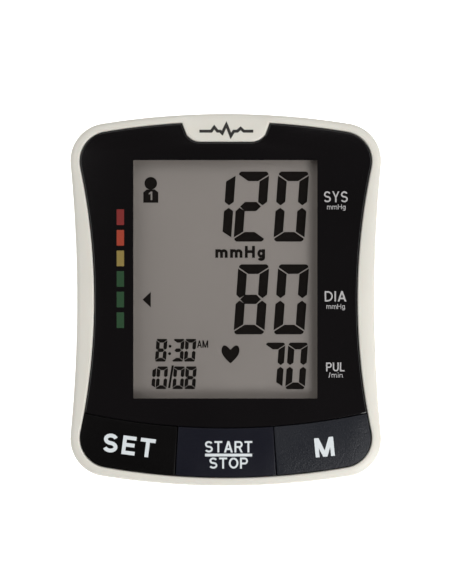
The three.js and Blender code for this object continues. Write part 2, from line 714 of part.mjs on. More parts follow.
// ---------------------------------------------------------------- air system
function pumpHead() {
  const half = 12;
  const layer = (y0, y1, size) =>
    box(PUMP.x - size, PUMP.x + size, y0, y1, PUMP.z - size, PUMP.z + size);
  const stack = [
    layer(PUMP.headFront, 10, half),
    layer(9.9, 18.1, half - 0.8),
    layer(18, PUMP.headBack, half),
    rod("y", 1, PUMP.headFront + 1, BRANCH_X, AIR.z, 1.9, 12),
  ];
  const crankRoom = rod("y", 13, PUMP.headBack + 1, PUMP.x, PUMP.z, 8.5, 24);
  const outlet = rod("y", 0, PUMP.headFront + 2, BRANCH_X, AIR.z, 0.9, 10);
  return cut(join(stack), [crankRoom, outlet]);
}

function pumpMotor() {
  const can = rod("y", PUMP.headBack + GAP, PUMP.motorBack, PUMP.x, PUMP.z, 10.5, 28);
  const bearing = rod("y", PUMP.motorBack - 1, PUMP.motorBack + 1.2, PUMP.x, PUMP.z, 3, 16);
  return cut(join([can, bearing]), [rod("y", 20, 60, PUMP.x, PUMP.z, 1.3, 12)]);
}

function motorShaft() {
  const shaft = rod("y", 16, PUMP.motorBack + 2.4, PUMP.x, PUMP.z, 1, 12);
  const eccentric = rod("y", 19, 23, PUMP.x + 1, PUMP.z, 5, 20);
  return join([shaft, eccentric]);
}

function airSocket() {
  const body = [
    rod("x", -50.3, -44, AIR.y, AIR.z, 4.3, 20),
    rod("x", -46.2, -44.8, AIR.y, AIR.z, 6, 20),
    rod("x", -45, -40, AIR.y, AIR.z, 3.4, 16),
    rod("x", -41, -36, AIR.y, AIR.z, 1.6, 12),
  ];
  const bore = rod("x", -51, -41, AIR.y, AIR.z, 2.4, 16);
  return cut(join(body), [bore, rod("x", -45, -35, AIR.y, AIR.z, 0.8, 10)]);
}

function airManifold() {
  const body = [
    rod("x", -39.6, -21.8, AIR.y, AIR.z, 3.2, 16),
    rod("y", AIR.y, -3, BRANCH_X, AIR.z, 1.9, 12),
    rod("y", -20, AIR.y, BRANCH_X, AIR.z, 1.9, 12),
    rod("z", AIR.z, 19, SENSOR_X, AIR.y, 1.8, 12),
  ];
  const bores = [
    rod("x", -41, -35.6, AIR.y, AIR.z, 1.6 + GAP, 12),
    rod("x", -41, -24, AIR.y, AIR.z, 1, 10),
    rod("y", -21, -2, BRANCH_X, AIR.z, 0.9, 10),
    rod("z", AIR.z, 20, SENSOR_X, AIR.y, 0.8, 10),
  ];
  return cut(join(body), bores);
}

const VALVE_BACK = -25;
const VALVE_FRONT = -38;

function releaseValve() {
  const coil = box(BRANCH_X - 6.6, BRANCH_X + 6.6, VALVE_FRONT, VALVE_BACK, 7.7, 20.3);
  const nozzle = rod("y", VALVE_BACK - 1, -20.6, BRANCH_X, AIR.z, 1.9, 12);
  const guide = rod("y", VALVE_FRONT - 1, VALVE_FRONT + 9, BRANCH_X, AIR.z, 2.3, 14);
  return cut(join([coil, nozzle]), [guide]);
}

function valveArmature() {
  const stem = rod("y", VALVE_FRONT - 3, VALVE_FRONT + 7.5, BRANCH_X, AIR.z, 2, 14);
  const head = rod("y", VALVE_FRONT - 3.7, VALVE_FRONT - 2.5, BRANCH_X, AIR.z, 3.2, 16);
  return join([stem, head]);
}

function dcJack() {
  const body = [
    box(36.5, 46.2, DC_JACK.y - 5, DC_JACK.y + 5, DC_JACK.z - 5.5, DC_JACK.z + 5),
    rod("x", 46, 49.3, DC_JACK.y, DC_JACK.z, 3.4, 16),
  ];
  const barrel = rod("x", 40, 50, DC_JACK.y, DC_JACK.z, 2.8, 16);
  const pin = rod("x", 39.5, 48.3, DC_JACK.y, DC_JACK.z, 1, 10);
  return join([cut(join(body), [barrel]), pin]);
}

function addAirSystem() {
  addPiece(monitor, "pump_head", pumpHead(), "white");
  addPiece(monitor, "pump_motor", pumpMotor(), "steel");
  addPiece(monitor, "motor_shaft", motorShaft(), "steel");
  addPiece(monitor, "pump_cushion", hose("y", 34, 44, PUMP.x, PUMP.z, 12.7, 10.9), "rubber");
  addPiece(monitor, "air_socket", airSocket(), "keyNavy");
  addPiece(monitor, "air_manifold", airManifold(), "white");
  addPiece(monitor, "bleed_valve", rod("x", -21.5, -14.5, AIR.y, AIR.z, 3.6, 16), "silicone");
  addPiece(monitor, "release_valve", releaseValve(), "steel");
  addPiece(monitor, "valve_armature", valveArmature(), "brass");
  addPiece(monitor, "pump_hose", hose("y", -5.5, 4.5, BRANCH_X, AIR.z, 3, 2.2), "silicone");
  addPiece(monitor, "valve_hose", hose("y", -24.6, -16.5, BRANCH_X, AIR.z, 3, 2.2), "silicone");
  addPiece(monitor, "sensor_hose", hose("z", 17.5, 22, SENSOR_X, AIR.y, 3, 2.2), "silicone");
  addPiece(monitor, "dc_jack", dcJack(), "chip");
}

addFacePieces();
addBoardPieces();
addCasePieces();
addBatteries();
addAirSystem();

export default monitor;
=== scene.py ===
"""Upper arm blood pressure monitor: fine surfaces, finishes, camera and lights on its CAD frame.

The face is drawn in its own frame, in millimetres: u across, v up the face and w out of it, with
w = 0 at the top of the rim. The case is drawn in the table frame, in millimetres, with y = 0 under
the middle of the face. A mesh is turned into metres in the model's frame when it is finished.
"""
import json
import logging
import math
from collections.abc import Callable, Iterable, Mapping, Sequence
from dataclasses import dataclass
from enum import Enum

import bpy
from mathutils import Matrix, Vector
from mathutils.bvhtree import BVHTree

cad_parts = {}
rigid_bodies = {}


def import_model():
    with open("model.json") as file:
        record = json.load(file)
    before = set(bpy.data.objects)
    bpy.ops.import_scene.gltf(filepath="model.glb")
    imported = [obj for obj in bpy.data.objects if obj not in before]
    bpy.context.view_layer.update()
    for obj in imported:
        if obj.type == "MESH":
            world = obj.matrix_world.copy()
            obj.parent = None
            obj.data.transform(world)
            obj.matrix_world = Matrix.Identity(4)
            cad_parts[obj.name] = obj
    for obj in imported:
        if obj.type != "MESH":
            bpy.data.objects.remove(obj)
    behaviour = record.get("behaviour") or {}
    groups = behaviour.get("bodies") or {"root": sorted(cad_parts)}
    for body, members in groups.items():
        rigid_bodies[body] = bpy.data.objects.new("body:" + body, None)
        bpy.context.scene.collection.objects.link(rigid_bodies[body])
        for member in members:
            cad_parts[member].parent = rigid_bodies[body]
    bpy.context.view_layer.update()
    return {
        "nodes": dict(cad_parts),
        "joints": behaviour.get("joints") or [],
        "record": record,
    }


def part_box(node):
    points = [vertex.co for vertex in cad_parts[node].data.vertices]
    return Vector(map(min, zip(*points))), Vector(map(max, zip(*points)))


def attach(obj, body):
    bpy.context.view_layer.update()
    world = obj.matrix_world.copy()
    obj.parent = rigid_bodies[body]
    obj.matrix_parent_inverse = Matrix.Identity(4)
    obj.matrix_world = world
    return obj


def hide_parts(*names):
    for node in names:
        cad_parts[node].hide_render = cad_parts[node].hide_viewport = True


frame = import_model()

Point = tuple[float, float]
Points = Sequence[Point]
Rgb = tuple[float, float, float]
Mesh = bpy.types.Mesh
Material = bpy.types.Material
Node = bpy.types.Node
Socket = bpy.types.NodeSocket
Tree = bpy.types.NodeTree

log = logging.getLogger("monitor")

MM = 0.001  # metres in a millimetre
GAP = 0.3  # clearance between neighbouring pieces
ROOT_BODY = "case"

# Levels in the face frame, in millimetres down from the rim.
RIM_EDGE = -1.8
LENS_TOP = -0.6
LENS_BOTTOM = -1.9
PLATE_TOP = -2.8
PLATE_BOTTOM = -4.8
GLASS_TOP = -5.1
GLASS_BOTTOM = -7.2
SKIRT_BOTTOM = -13.0
CASE_TOP = -13.3
LIP_TOP = -11.8
KEY_TOP = -0.5
KEY_BOTTOM = -2.1
SPLIT_LEVEL = -12.6
WALL = 2.2
AIR_AXIS = (-12.0, 14.0)  # y and z of the air socket
JACK_AXIS = (-12.0, 11.0)  # y and z of the supply socket
DISPLAY_WINDOW = (-31.3, 31.0, -33.4, 47.3)  # left, right, bottom and top on the face
HALVINGS = 30  # steps of the search for a border


@dataclass(frozen=True)
class Corners:
    """Four places at the corners of a trapezium, symmetric about x = 0, in millimetres."""

    front_half: float
    rear_half: float
    front_y: float
    rear_y: float

    def points(self) -> list[Point]:
        """The places: front left, front right, rear left and rear right."""
        rows = ((self.front_half, self.front_y), (self.rear_half, self.rear_y))
        return [(side * half, y) for half, y in rows for side in (-1, 1)]

    def sizes(self, base: float = 0.0, slope: float = 0.0) -> dict[str, float]:
        """The inputs of the tree that puts copies there."""
        return {"Front Half X": self.front_half, "Rear Half X": self.rear_half,
                "Front Y": self.front_y, "Rear Y": self.rear_y, "Base Z": base, "Slope": slope}


CASE_SCREWS = Corners(43.4, 42.6, -28.0, 52.4)
BOARD_SCREWS = Corners(37.0, 37.0, -41.0, 40.0)
FEET = Corners(40.0, 44.0, -45.0, 42.0)


# --- frames
@dataclass(frozen=True)
class FaceFrame:
    """The tilted plane of the face, read from the model.

    Args:
        centre: the middle of the face at the top of the rim, in metres.
        up: unit vector up the face.
        normal: unit vector out of the face.
    """

    centre: Vector
    up: Vector
    normal: Vector

    @classmethod
    def of_model(cls) -> "FaceFrame":
        """Finds the face from the way the keys press and from the front cover's extent."""
        press = next(joint for joint in frame["joints"] if joint["name"] == "set_press")
        normal = -Vector(press["axis"]).normalized()
        up = normal.cross(Vector((1, 0, 0)))
        cover = [vertex.co for vertex in frame["nodes"]["front_cover"].data.vertices]
        rises = [point.dot(up) for point in cover]
        top = max(point.dot(normal) for point in cover)
        return cls(up * ((min(rises) + max(rises)) / 2) + normal * top, up, normal)

    @property
    def tilt(self) -> float:
        """The slope of the face against the table, in radians."""
        return math.atan2(self.up.z, self.up.y)

    def matrix(self) -> Matrix:
        """The change from face millimetres to model metres."""
        turn = Matrix((Vector((1, 0, 0)), self.up, self.normal)).transposed().to_4x4()
        return Matrix.Translation(self.centre) @ turn @ Matrix.Scale(MM, 4)

    def table_matrix(self) -> Matrix:
        """The change from table millimetres to model metres."""
        return Matrix.Translation((0, self.centre.y, 0)) @ Matrix.Scale(MM, 4)

    def level_height(self, level: float, y: float) -> float:
        """Height over the table, in millimetres, of a face level at a given y."""
        rise = y * math.tan(self.tilt) + level / math.cos(self.tilt)
        return self.centre.z / MM + rise


FACE = FaceFrame.of_model()
ON_FACE = FACE.matrix()
ON_TABLE = FACE.table_matrix()
TABLE_TO_FACE = ON_FACE.inverted() @ ON_TABLE


# --- plane curves
def spread(start: float, end: float, steps: int) -> list[float]:
    """Evenly spaced numbers from start up to, but without, end."""
    return [start + (end - start) * i / steps for i in range(steps)]


def between(a: Point, b: Point, share: float) -> Point:
    """The point at a share of the way from a to b."""
    return (a[0] + (b[0] - a[0]) * share, a[1] + (b[1] - a[1]) * share)


def bend(a: Point, b: Point, c: Point, steps: int) -> list[Point]:
    """Points on the curve from a to c that b pulls, without the last one."""
    return [between(between(a, b, t), between(b, c, t), t) for t in spread(0, 1, steps)]


def arc(centre: Point, radius: float, start: float, end: float, steps: int) -> list[Point]:
    """Points on an arc about a centre, without the last one."""
    return [
        (centre[0] + radius * math.cos(angle), centre[1] + radius * math.sin(angle))
        for angle in spread(start, end, steps)
    ]


def circle(centre: Point, radius: float, steps: int) -> list[Point]:
    """A closed ring of points, anticlockwise."""
    return arc(centre, radius, 0, math.tau, steps)


def rounded_rectangle(low: Point, high: Point, radius: float, steps: int = 5) -> list[Point]:
    """A rectangle with round corners, anticlockwise from its lower right corner.

    Args:
        low: lower left corner.
        high: upper right corner.
        radius: radius of the corners.
        steps: points on each corner.

    Returns:
        The closed ring of points.
    """
    quarter = math.pi / 2
    corners = [(high[0], low[1]), high, (low[0], high[1]), low]
    inward = [(-1, 1), (-1, -1), (1, -1), (1, 1)]
    ring: list[Point] = []
    for index, (corner, into) in enumerate(zip(corners, inward)):
        middle = (corner[0] + into[0] * radius, corner[1] + into[1] * radius)
        start = (index - 1) * quarter
        ring += arc(middle, radius, start, start + quarter, steps)
        ring += arc(middle, radius, start + quarter, start, 1)
    return ring


def inset_loop(loop: Points, depth: float) -> list[Point]:
    """An anticlockwise loop moved inwards by a depth, with the same number of points."""
    moved = []
    for i, here in enumerate(loop):
        before, after = loop[i - 1], loop[(i + 1) % len(loop)]
        first = Vector((here[0] - before[0], here[1] - before[1])).normalized()
        second = Vector((after[0] - here[0], after[1] - here[1])).normalized()
        inward = Vector((-first.y - second.y, first.x + second.x))
        if inward.length < 1e-6:
            moved.append(here)
            continue
        inward.normalize()
        stretch = max(0.5, inward.dot(Vector((-first.y, first.x))))
        moved.append((here[0] + inward.x * depth / stretch, here[1] + inward.y * depth / stretch))
    return moved


def crossing(a: Point, b: Point, inside: Callable[[Point], bool]) -> Point:
    """The point between a, inside, and b, outside, where the inside ends."""
    low, high = 0.0, 1.0
    for _ in range(HALVINGS):
        middle = (low + high) / 2
        low, high = (middle, high) if inside(between(a, b, middle)) else (low, middle)
    return between(a, b, low)


def clipped(
    loop: Points,
    inside: Callable[[Point], bool],
    along: Callable[[Point, Point], list[Point]] = lambda a, b: [],
) -> list[Point]:
    """The part of a loop that is inside, where the border of the inside crosses it twice.

    Args:
        loop: the closed ring of points.
        inside: tells whether a point is kept.
        along: the points of the border between the way out and the way back in.

    Returns:
        The clipped ring, in the same direction.
    """
    flags = [inside(point) for point in loop]
    if all(flags):
        return list(loop)
    count = len(loop)
    start = next(i for i in range(count) if flags[i] and not flags[i - 1])
    ring = [crossing(loop[start], loop[start - 1], inside)]
    index = start
    while flags[index % count]:
        ring.append(loop[index % count])
        index += 1
    ring.append(crossing(loop[(index - 1) % count], loop[index % count], inside))
    return ring + along(ring[-1], ring[0])


@dataclass(frozen=True)
class Tab:
    """The tab of the rim that reaches down into the black panel, in millimetres."""

    half_top: float = 14.8
    half_shoulder: float = 13.3
    shoulder_v: float = 55.8
    half_bend: float = 11.4
    half_flat: float = 8.6
    flat_v: float = 53.4

    def path(self, spread_by: float, root_v: float) -> list[Point]:
        """The tab's edge from right to left.

        Args:
            spread_by: how far the edge is moved out of the tab.
            root_v: where the edge leaves the rim.

        Returns:
            An odd number of points, symmetric about u = 0.
        """
        shoulder = (self.half_shoulder + spread_by, self.shoulder_v)
        pull = (self.half_bend + spread_by, self.flat_v - spread_by)
        flat = (self.half_flat, self.flat_v - spread_by)
        root = (self.half_top + spread_by, root_v)
        right = [root, *(between(root, shoulder, t) for t in spread(0.2, 1, 3))]
        right += bend(shoulder, pull, flat, 9)
        right += [(x, flat[1]) for x in spread(flat[0], 0, 4)]
        return right + [(0.0, flat[1])] + [(-x, y) for x, y in reversed(right)]


TAB = Tab()


@dataclass(frozen=True)
class Outline:
    """An outline with concave sides and bowed ends, symmetric about u = 0, in millimetres."""

    waist: float
    top: float
    bottom: float
    side_radius: float
    top_radius: float
    bottom_radius: float
    corner_radius: float

    SIDE_STEPS = 12
    CORNER_STEPS = 14
    ARCH_STEPS = 8

    def set_in(self, inset: float) -> "Outline":
        """The same outline moved inwards."""
        return Outline(
            self.waist - inset, self.top - inset, self.bottom - inset, self.side_radius + inset,
            self.top_radius - inset, self.bottom_radius - inset, self.corner_radius - inset,
        )

    def arch_v(self, u: float) -> float:
        """The height of the top arch at u."""
        return self.top - self.top_radius + math.sqrt(self.top_radius**2 - u**2)

    def flank(self, end: float, end_radius: float) -> tuple[list[Point], float]:
        """The side and corner of one quarter.

        Args:
            end: distance from the waist to the middle of the end.
            end_radius: radius of the end's arch.

        Returns:
            The points from the waist to the arch, without the last, and the u of that last point.
        """
        side_u = self.waist + self.side_radius
        rise = end_radius - end
        to_arch = end_radius - self.corner_radius
        to_side = self.side_radius + self.corner_radius
        distance = math.hypot(side_u, rise)
        along = (to_arch**2 - to_side**2 + distance**2) / (2 * distance)
        across = math.sqrt(to_arch**2 - along**2)
        unit = (side_u / distance, rise / distance)
        corner = (unit[0] * along - unit[1] * across, unit[1] * along + unit[0] * across - rise)
        side_end = math.atan2(corner[1], corner[0] - side_u)
        corner_start = math.atan2(-corner[1], side_u - corner[0])
        corner_end = math.atan2(corner[1] + rise, corner[0])
        points = arc((side_u, 0), self.side_radius, math.pi, side_end, self.SIDE_STEPS)
        points += arc(corner, self.corner_radius, corner_start, corner_end, self.CORNER_STEPS)
        return points, end_radius * math.cos(corner_end)

    def ring(self, tab_spread: float | None = None) -> list[Point]:
        """The whole outline, anticlockwise from the right waist.

        Args:
            tab_spread: None for a plain top, or how far the tab's edge is moved out of the tab.

        Returns:
            A closed ring whose number of points depends on the steps only.
        """
        half = TAB.half_top + (tab_spread or 0)
        upper, u_start = self.flank(self.top, self.top_radius)
        upper += [(u, self.arch_v(u)) for u in spread(u_start, half, self.ARCH_STEPS)]
        path = TAB.path(tab_spread or 0, self.arch_v(half))
        if tab_spread is None:
            lengths = [0.0]
            for a, b in zip(path, path[1:]):
                lengths.append(lengths[-1] + math.dist(a, b))
            path = [(u, self.arch_v(u))
                    for u in (half * (1 - 2 * length / lengths[-1]) for length in lengths)]
        lower, u_start = self.flank(self.bottom, self.bottom_radius)
        drop = self.bottom_radius - self.bottom
        lower += [(u, math.sqrt(self.bottom_radius**2 - u**2) - drop)
                  for u in spread(u_start, 0, 2 * self.ARCH_STEPS)]
        return [
            *upper,
            *path,
            *((-u, v) for u, v in reversed(upper[1:])),
            (-self.waist, 0.0),
            *((-u, -v) for u, v in lower[1:]),
            (0.0, -self.bottom),
            *((u, -v) for u, v in reversed(lower[1:])),
        ]


OUTER = Outline(50.3, 62.9, 62.9, 469, 266, 266, 12.7)
PANEL = Outline(44.5, 60.2, 60.2, 215, 248, 235, 10.1)
BASE = Outline(49.4, 59.35, 59.35, 469, 266, 266, 12)
BASE_CENTRE_Y = 3.85


# --- meshes
class Skin:
    """Points and faces of one surface, in the millimetres of the frame that it is drawn in."""

    EDGE_STEPS = 4  # rings over a rounded edge

    def __init__(self) -> None:
        """Starts an empty surface."""
        self.points: list[Vector] = []
        self.faces: list[tuple[int, ...]] = []

    def ring(self, loop: Iterable[Sequence[float]], level: float | None = None) -> list[int]:
        """Adds a ring of points, flat ones if a level is given, and returns their indices."""
        first = len(self.points)
        for point in loop:
            self.points.append(Vector(point if level is None else (*point, level)))
        return list(range(first, len(self.points)))

    def bridge(self, lower: Sequence[int], upper: Sequence[int]) -> None:
        """Joins two anticlockwise rings of equal length by a wall that faces outwards."""
        count = len(lower)
        for i in range(count):
            j = (i + 1) % count
            self.faces.append((lower[i], lower[j], upper[j], upper[i]))

    def tower(self, rings: Sequence[Sequence[int]], closed: bool = False) -> None:
        """Joins rings in order, with a cap on both ends or back to the first one.

        Args:
            rings: the rings, from the lowest to the highest.
            closed: joins the last ring to the first instead of capping.
        """
        for lower, upper in zip(rings, rings[1:]):
            self.bridge(lower, upper)
        if closed:
            self.bridge(rings[-1], rings[0])
        else:
            self.faces += [tuple(reversed(rings[0])), tuple(rings[-1])]

    def slab(self, loop: Points, bottom: float, top: float,
             edge: float = 0.0) -> "Skin":
        """Adds a flat plate with a rounded upper edge.

        Args:
            loop: the plate's outline, anticlockwise.
            bottom: level of the underside.
            top: level of the top.
            edge: radius of the upper edge.

        Returns:
            The surface itself.
        """
        rings = [self.ring(loop, bottom), self.ring(loop, top - edge)]
        if edge:
            for i in range(1, self.EDGE_STEPS + 1):
                angle = math.pi / 2 * i / self.EDGE_STEPS
                inner = inset_loop(loop, edge * (1 - math.cos(angle)))
                rings.append(self.ring(inner, top - edge * (1 - math.sin(angle))))
        self.tower(rings)
        return self

    def box(self, low: Sequence[float], high: Sequence[float]) -> "Skin":
        """Adds a plain block, for cutting and for hidden ribs."""
        corners = [(low[0], low[1]), (high[0], low[1]), (high[0], high[1]), (low[0], high[1])]
        self.tower([self.ring(corners, low[2]), self.ring(corners, high[2])])
        return self

    def turned(self, profile: Points, place: Matrix, sides: int = 48) -> "Skin":
        """Adds a turned body.

        Args:
            profile: (radius, height) pairs from one end of the axis to the other.
            place: where the body's Z axis and origin go.
            sides: faces round the axis.

        Returns:
            The surface itself.
        """
        rings = [
            self.ring(place @ Vector((*point, height)) for point in circle((0, 0), radius, sides))
            for radius, height in profile
        ]
        self.tower(rings)
        return self

    def moved(self, matrix: Matrix) -> "Skin":
        """Moves all points."""
        self.points = [matrix @ point for point in self.points]
        return self

    def add(self, *others: "Skin") -> "Skin":
        """Takes in the points and faces of other surfaces."""
        for other in others:
            first = len(self.points)
            self.points += other.points
            self.faces += [tuple(first + i for i in face) for face in other.faces]
        return self

    def mesh(self, name: str, place: Matrix) -> Mesh:
        """Makes the mesh.

        Args:
            name: the mesh's name.
            place: change from the surface's millimetres to model metres.

        Returns:
            A mesh whose faces point outwards.
        """
        mesh = bpy.data.meshes.new(name)
        mesh.from_pydata(self.points, [], self.faces)
        mesh.validate()
        mesh.transform(place)
        smooth(mesh)
        return mesh


def smooth(mesh: Mesh, sharp: float = 32.0) -> None:
    """Shades a mesh smooth between its crisp edges."""
    mesh.shade_smooth()
    mesh.set_sharp_from_angle(angle=math.radians(sharp))


def axis_place(axis: str, start: Sequence[float]) -> Matrix:
    """The place that lays a turned body's Z axis along x, -x or z, from a start."""
    angle = {"x": math.pi / 2, "-x": -math.pi / 2, "z": 0.0}[axis]
    return Matrix.Translation(start) @ Matrix.Rotation(angle, 4, "Y")


def rod(axis: str, start: float, end: float, a: float, b: float, radius: float,
        sides: int = 32, edge: float = 0.0) -> Skin:
    """A rod along a positive axis.

    Args:
        axis: x or z.
        start: where the rod starts.
        end: where it ends.
        a: its place on the first other axis.
        b: its place on the second other axis.
        radius: its radius.
        sides: faces round it.
        edge: radius of the rounding at both ends.

    Returns:
        The rod's surface.
    """
    origin = {"x": (start, a, b), "z": (a, b, start)}[axis]
    length = end - start
    if edge:
        turn = [math.pi / 2 * i / 4 for i in range(5)]
        core = radius - edge
        profile = [(core + edge * math.sin(t), edge - edge * math.cos(t)) for t in turn]
        profile += [(core + edge * math.cos(t), length - edge + edge * math.sin(t)) for t in turn]
    else:
        profile = [(radius, 0), (radius, length)]
    return Skin().turned(profile, axis_place(axis, origin), sides)


def new_object(name: str, data: bpy.types.ID, material: Material | None = None
               ) -> bpy.types.Object:
    """Puts a mesh, a light or a camera in the scene, with its object at the origin."""
    made = bpy.data.objects.new(name, data)
    bpy.context.scene.collection.objects.link(made)
    if material is not None:
        data.materials.clear()
        data.materials.append(material)
    return made


def applied(piece: bpy.types.Object) -> Mesh:
    """The piece's mesh with its modifiers applied, as a new mesh."""
    shown = piece.evaluated_get(bpy.context.evaluated_depsgraph_get())
    return bpy.data.meshes.new_from_object(shown)


def carve(base: Skin, joined: Sequence[Skin] = (), cut: Sequence[Skin] = (),
          place: Matrix = ON_TABLE, sharp: float = 32.0) -> Mesh:
    """Joins bodies to a base and cuts others out of it.

    Args:
        base: the surface to start from.
        joined: closed bodies that are joined on first.
        cut: closed bodies that are then taken away.
        place: change from millimetres to model metres.
        sharp: edges that bend by more degrees than this stay crisp.

    Returns:
        The finished mesh.
    """
    still = Matrix.Identity(4)
    target = new_object("carved", base.mesh("carved", still))
    groups = []
    for operation, bodies in (("UNION", joined), ("DIFFERENCE", cut)):
        if not bodies:
            continue
        group = bpy.data.collections.new(operation.lower())
        for body in bodies:
            group.objects.link(bpy.data.objects.new("tool", body.mesh("tool", still)))
        groups.append(group)
        step = target.modifiers.new(operation.lower(), "BOOLEAN")
        step.operation = operation
        step.operand_type = "COLLECTION"
        step.collection = group
        step.solver = "EXACT"
    mesh = applied(target)
    bpy.data.objects.remove(target)
    for group in groups:
        for tool in list(group.objects):
            bpy.data.objects.remove(tool)
        bpy.data.collections.remove(group)
    mesh.transform(place)
    smooth(mesh, sharp)
    return mesh


# --- letters
def ribbon(path: Points, width: float, bottom: float, top: float) -> Skin:
    """A flat stroke along a path, as square sections joined in order.

    Args:
        path: the middle of the stroke.
        width: its width.
        bottom: level of its underside.
        top: level of its top.

    Returns:
        The stroke's surface.
    """
    skin = Skin()
    rings = []
    for i, here in enumerate(path):
        before, after = path[max(i - 1, 0)], path[min(i + 1, len(path) - 1)]
        first = Vector((here[0] - before[0], here[1] - before[1]))
        second = Vector((after[0] - here[0], after[1] - here[1]))
        first = (first if first.length else second).normalized()
        second = (second if second.length else first).normalized()
        side = Vector((-first.y - second.y, first.x + second.x)).normalized()
        reach = width / 2 / max(0.45, side.dot(Vector((-first.y, first.x))))
        left = (here[0] + side.x * reach, here[1] + side.y * reach)
        right = (here[0] - side.x * reach, here[1] - side.y * reach)
        rings.append(skin.ring([(*right, bottom), (*right, top), (*left, top), (*left, bottom)]))
    skin.tower(rings)
    skin.faces = [tuple(reversed(face)) for face in skin.faces]
    return skin


def densified(path: Points, step: float) -> list[Point]:
    """A path with extra points so that none are further apart than a step."""
    dense = []
    for a, b in zip(path, path[1:]):
        count = max(1, math.ceil(math.dist(a, b) / step))
        dense += [between(a, b, t) for t in spread(0, 1, count)]
    return dense + [path[-1]]


@dataclass(frozen=True)
class Letters:
    """Plain upright capitals and the few small letters the print needs, drawn with strokes.

    Every letter stands on 0 and is 1 high before it is scaled; small letters are lower.

    Args:
        stroke: width of the strokes as a share of the height.
    """

    stroke: float

    WIDTHS = {"S": 0.76, "E": 0.68, "T": 0.76, "A": 0.86, "R": 0.8, "O": 0.9, "P": 0.74,
              "M": 0.98, "Y": 0.8, "D": 0.8, "I": 0.0, "U": 0.78, "L": 0.62, "H": 0.8,
              "m": 0.98, "g": 0.62, "i": 0.0, "n": 0.6, "/": 0.36}
    LOW = 0.72  # height of the small letters
    TAIL = -0.26

    def width(self, letter: str) -> float:
        """The width of a letter."""
        return max(self.WIDTHS[letter], self.stroke)

    def round_path(self, centre: Point, radii: Point, start: float, end: float) -> list[Point]:
        """Points on an upright ellipse from one angle to another, in degrees."""
        angles = spread(math.radians(start), math.radians(end), 18)
        return [(centre[0] + radii[0] * math.cos(a), centre[1] + radii[1] * math.sin(a))
                for a in angles + [math.radians(end)]]

    def bowl(self, width: float, low: float, high: float) -> list[Point]:
        """The path of a half round bowl that opens to the left."""
        reach = (high - low) / 2
        middle = (low + high) / 2
        turn = self.round_path((width - self.stroke / 2 - reach, middle), (reach, reach), 90, -90)
        return [(self.stroke / 2, high), *turn, (self.stroke / 2, low)]

    def paths(self, letter: str) -> list[list[Point]]:
        """The middle lines of a letter's strokes."""
        w, s = self.width(letter), self.stroke
        h = s / 2
        left, right, low, high = h, w - h, h, 1 - h
        stem = [(left, 0), (left, 1)]
        if letter == "S":
            lift = (0.5 - h) / 2
            across = right - w / 2
            upper = self.round_path((w / 2, high - lift), (across * 0.94, lift), 22, 270)
            lower = self.round_path((w / 2, low + lift), (across, lift), 90, -158)
            return [upper + lower[1:]]
        if letter == "O":
            return [self.round_path((w / 2, 0.5), (right - w / 2, 0.5 - h), 90, 450)]
        if letter in "mn":
            arches = 2 if letter == "m" else 1
            reach = (w - s) / 2 / arches
            made = [[(left, 0), (left, self.LOW)]]
            for start in spread(left, right, arches):
                middle = (start + reach, self.LOW - h - reach)
                turn = self.round_path(middle, (reach, reach), 180, 0)
                made.append([*turn, (start + 2 * reach, 0)])
            return made
        if letter == "g":
            middle = self.LOW / 2
            ring = self.round_path((w / 2, middle), (w / 2 - h, middle - h), 90, 450)
            hook = self.round_path((w / 2, self.TAIL + h + 0.16), (w / 2 - h, 0.16), 0, -160)
            return [ring, [(right, self.LOW), *hook]]
        simple = {
            "E": [stem, [(left, high), (w, high)], [(left, low), (w, low)],
                  [(left, 0.52), (w * 0.92, 0.52)]],
            "T": [[(0, high), (w, high)], [(w / 2, 0), (w / 2, 1)]],
            "M": [stem, [(right, 0), (right, 1)]],
            "A": [[(w * 0.2, 0.3), (w * 0.8, 0.3)]],
            "R": [stem, self.bowl(w * 0.97, 0.48, high)],
            "P": [stem, self.bowl(w, 0.46, high)],
            "Y": [[(w / 2, 0), (w / 2, 0.5)]],
            "D": [stem, self.bowl(w, low, high)],
            "I": [stem],
            "U": [[(left, 1), *self.round_path((w / 2, w / 2), (w / 2 - h, w / 2 - h), 180, 360),
                   (right, 1)]],
            "L": [stem, [(left, low), (w, low)]],
            "H": [stem, [(right, 0), (right, 1)], [(left, 0.52), (right, 0.52)]],
            "i": [[(left, 0), (left, self.LOW)], [(left, 0.86), (left, 1)]],
            "/": [],
        }
        return simple[letter]

    def slants(self, letter: str) -> list[list[Point]]:
        """The slanted strokes of a letter, cut level at both ends, anticlockwise."""
        w, s = self.width(letter), self.stroke
        wide, half = 1.2 * s, 0.55 * s
        legs = {
            "M": [(0, 1, w / 2 - half, 0, 1.15 * s)],
            "A": [(w / 2 - half, 1, 0, 0, wide)],
            "Y": [(0, 1, w / 2 - half, 0.42, wide)],
            "R": [(w * 0.42, 0.5, w - wide, 0, wide)],
            "/": [(w - wide, 1.02, 0, -0.02, wide)],
        }.get(letter, [])
        made = []
        for top_x, top_y, low_x, low_y, across in legs:
            leg = [(low_x, low_y), (low_x + across, low_y), (top_x + across, top_y),
                   (top_x, top_y)]
            made.append(leg)
            if letter in "MAY":
                made.append([(w - x, y) for x, y in reversed(leg)])
        return made


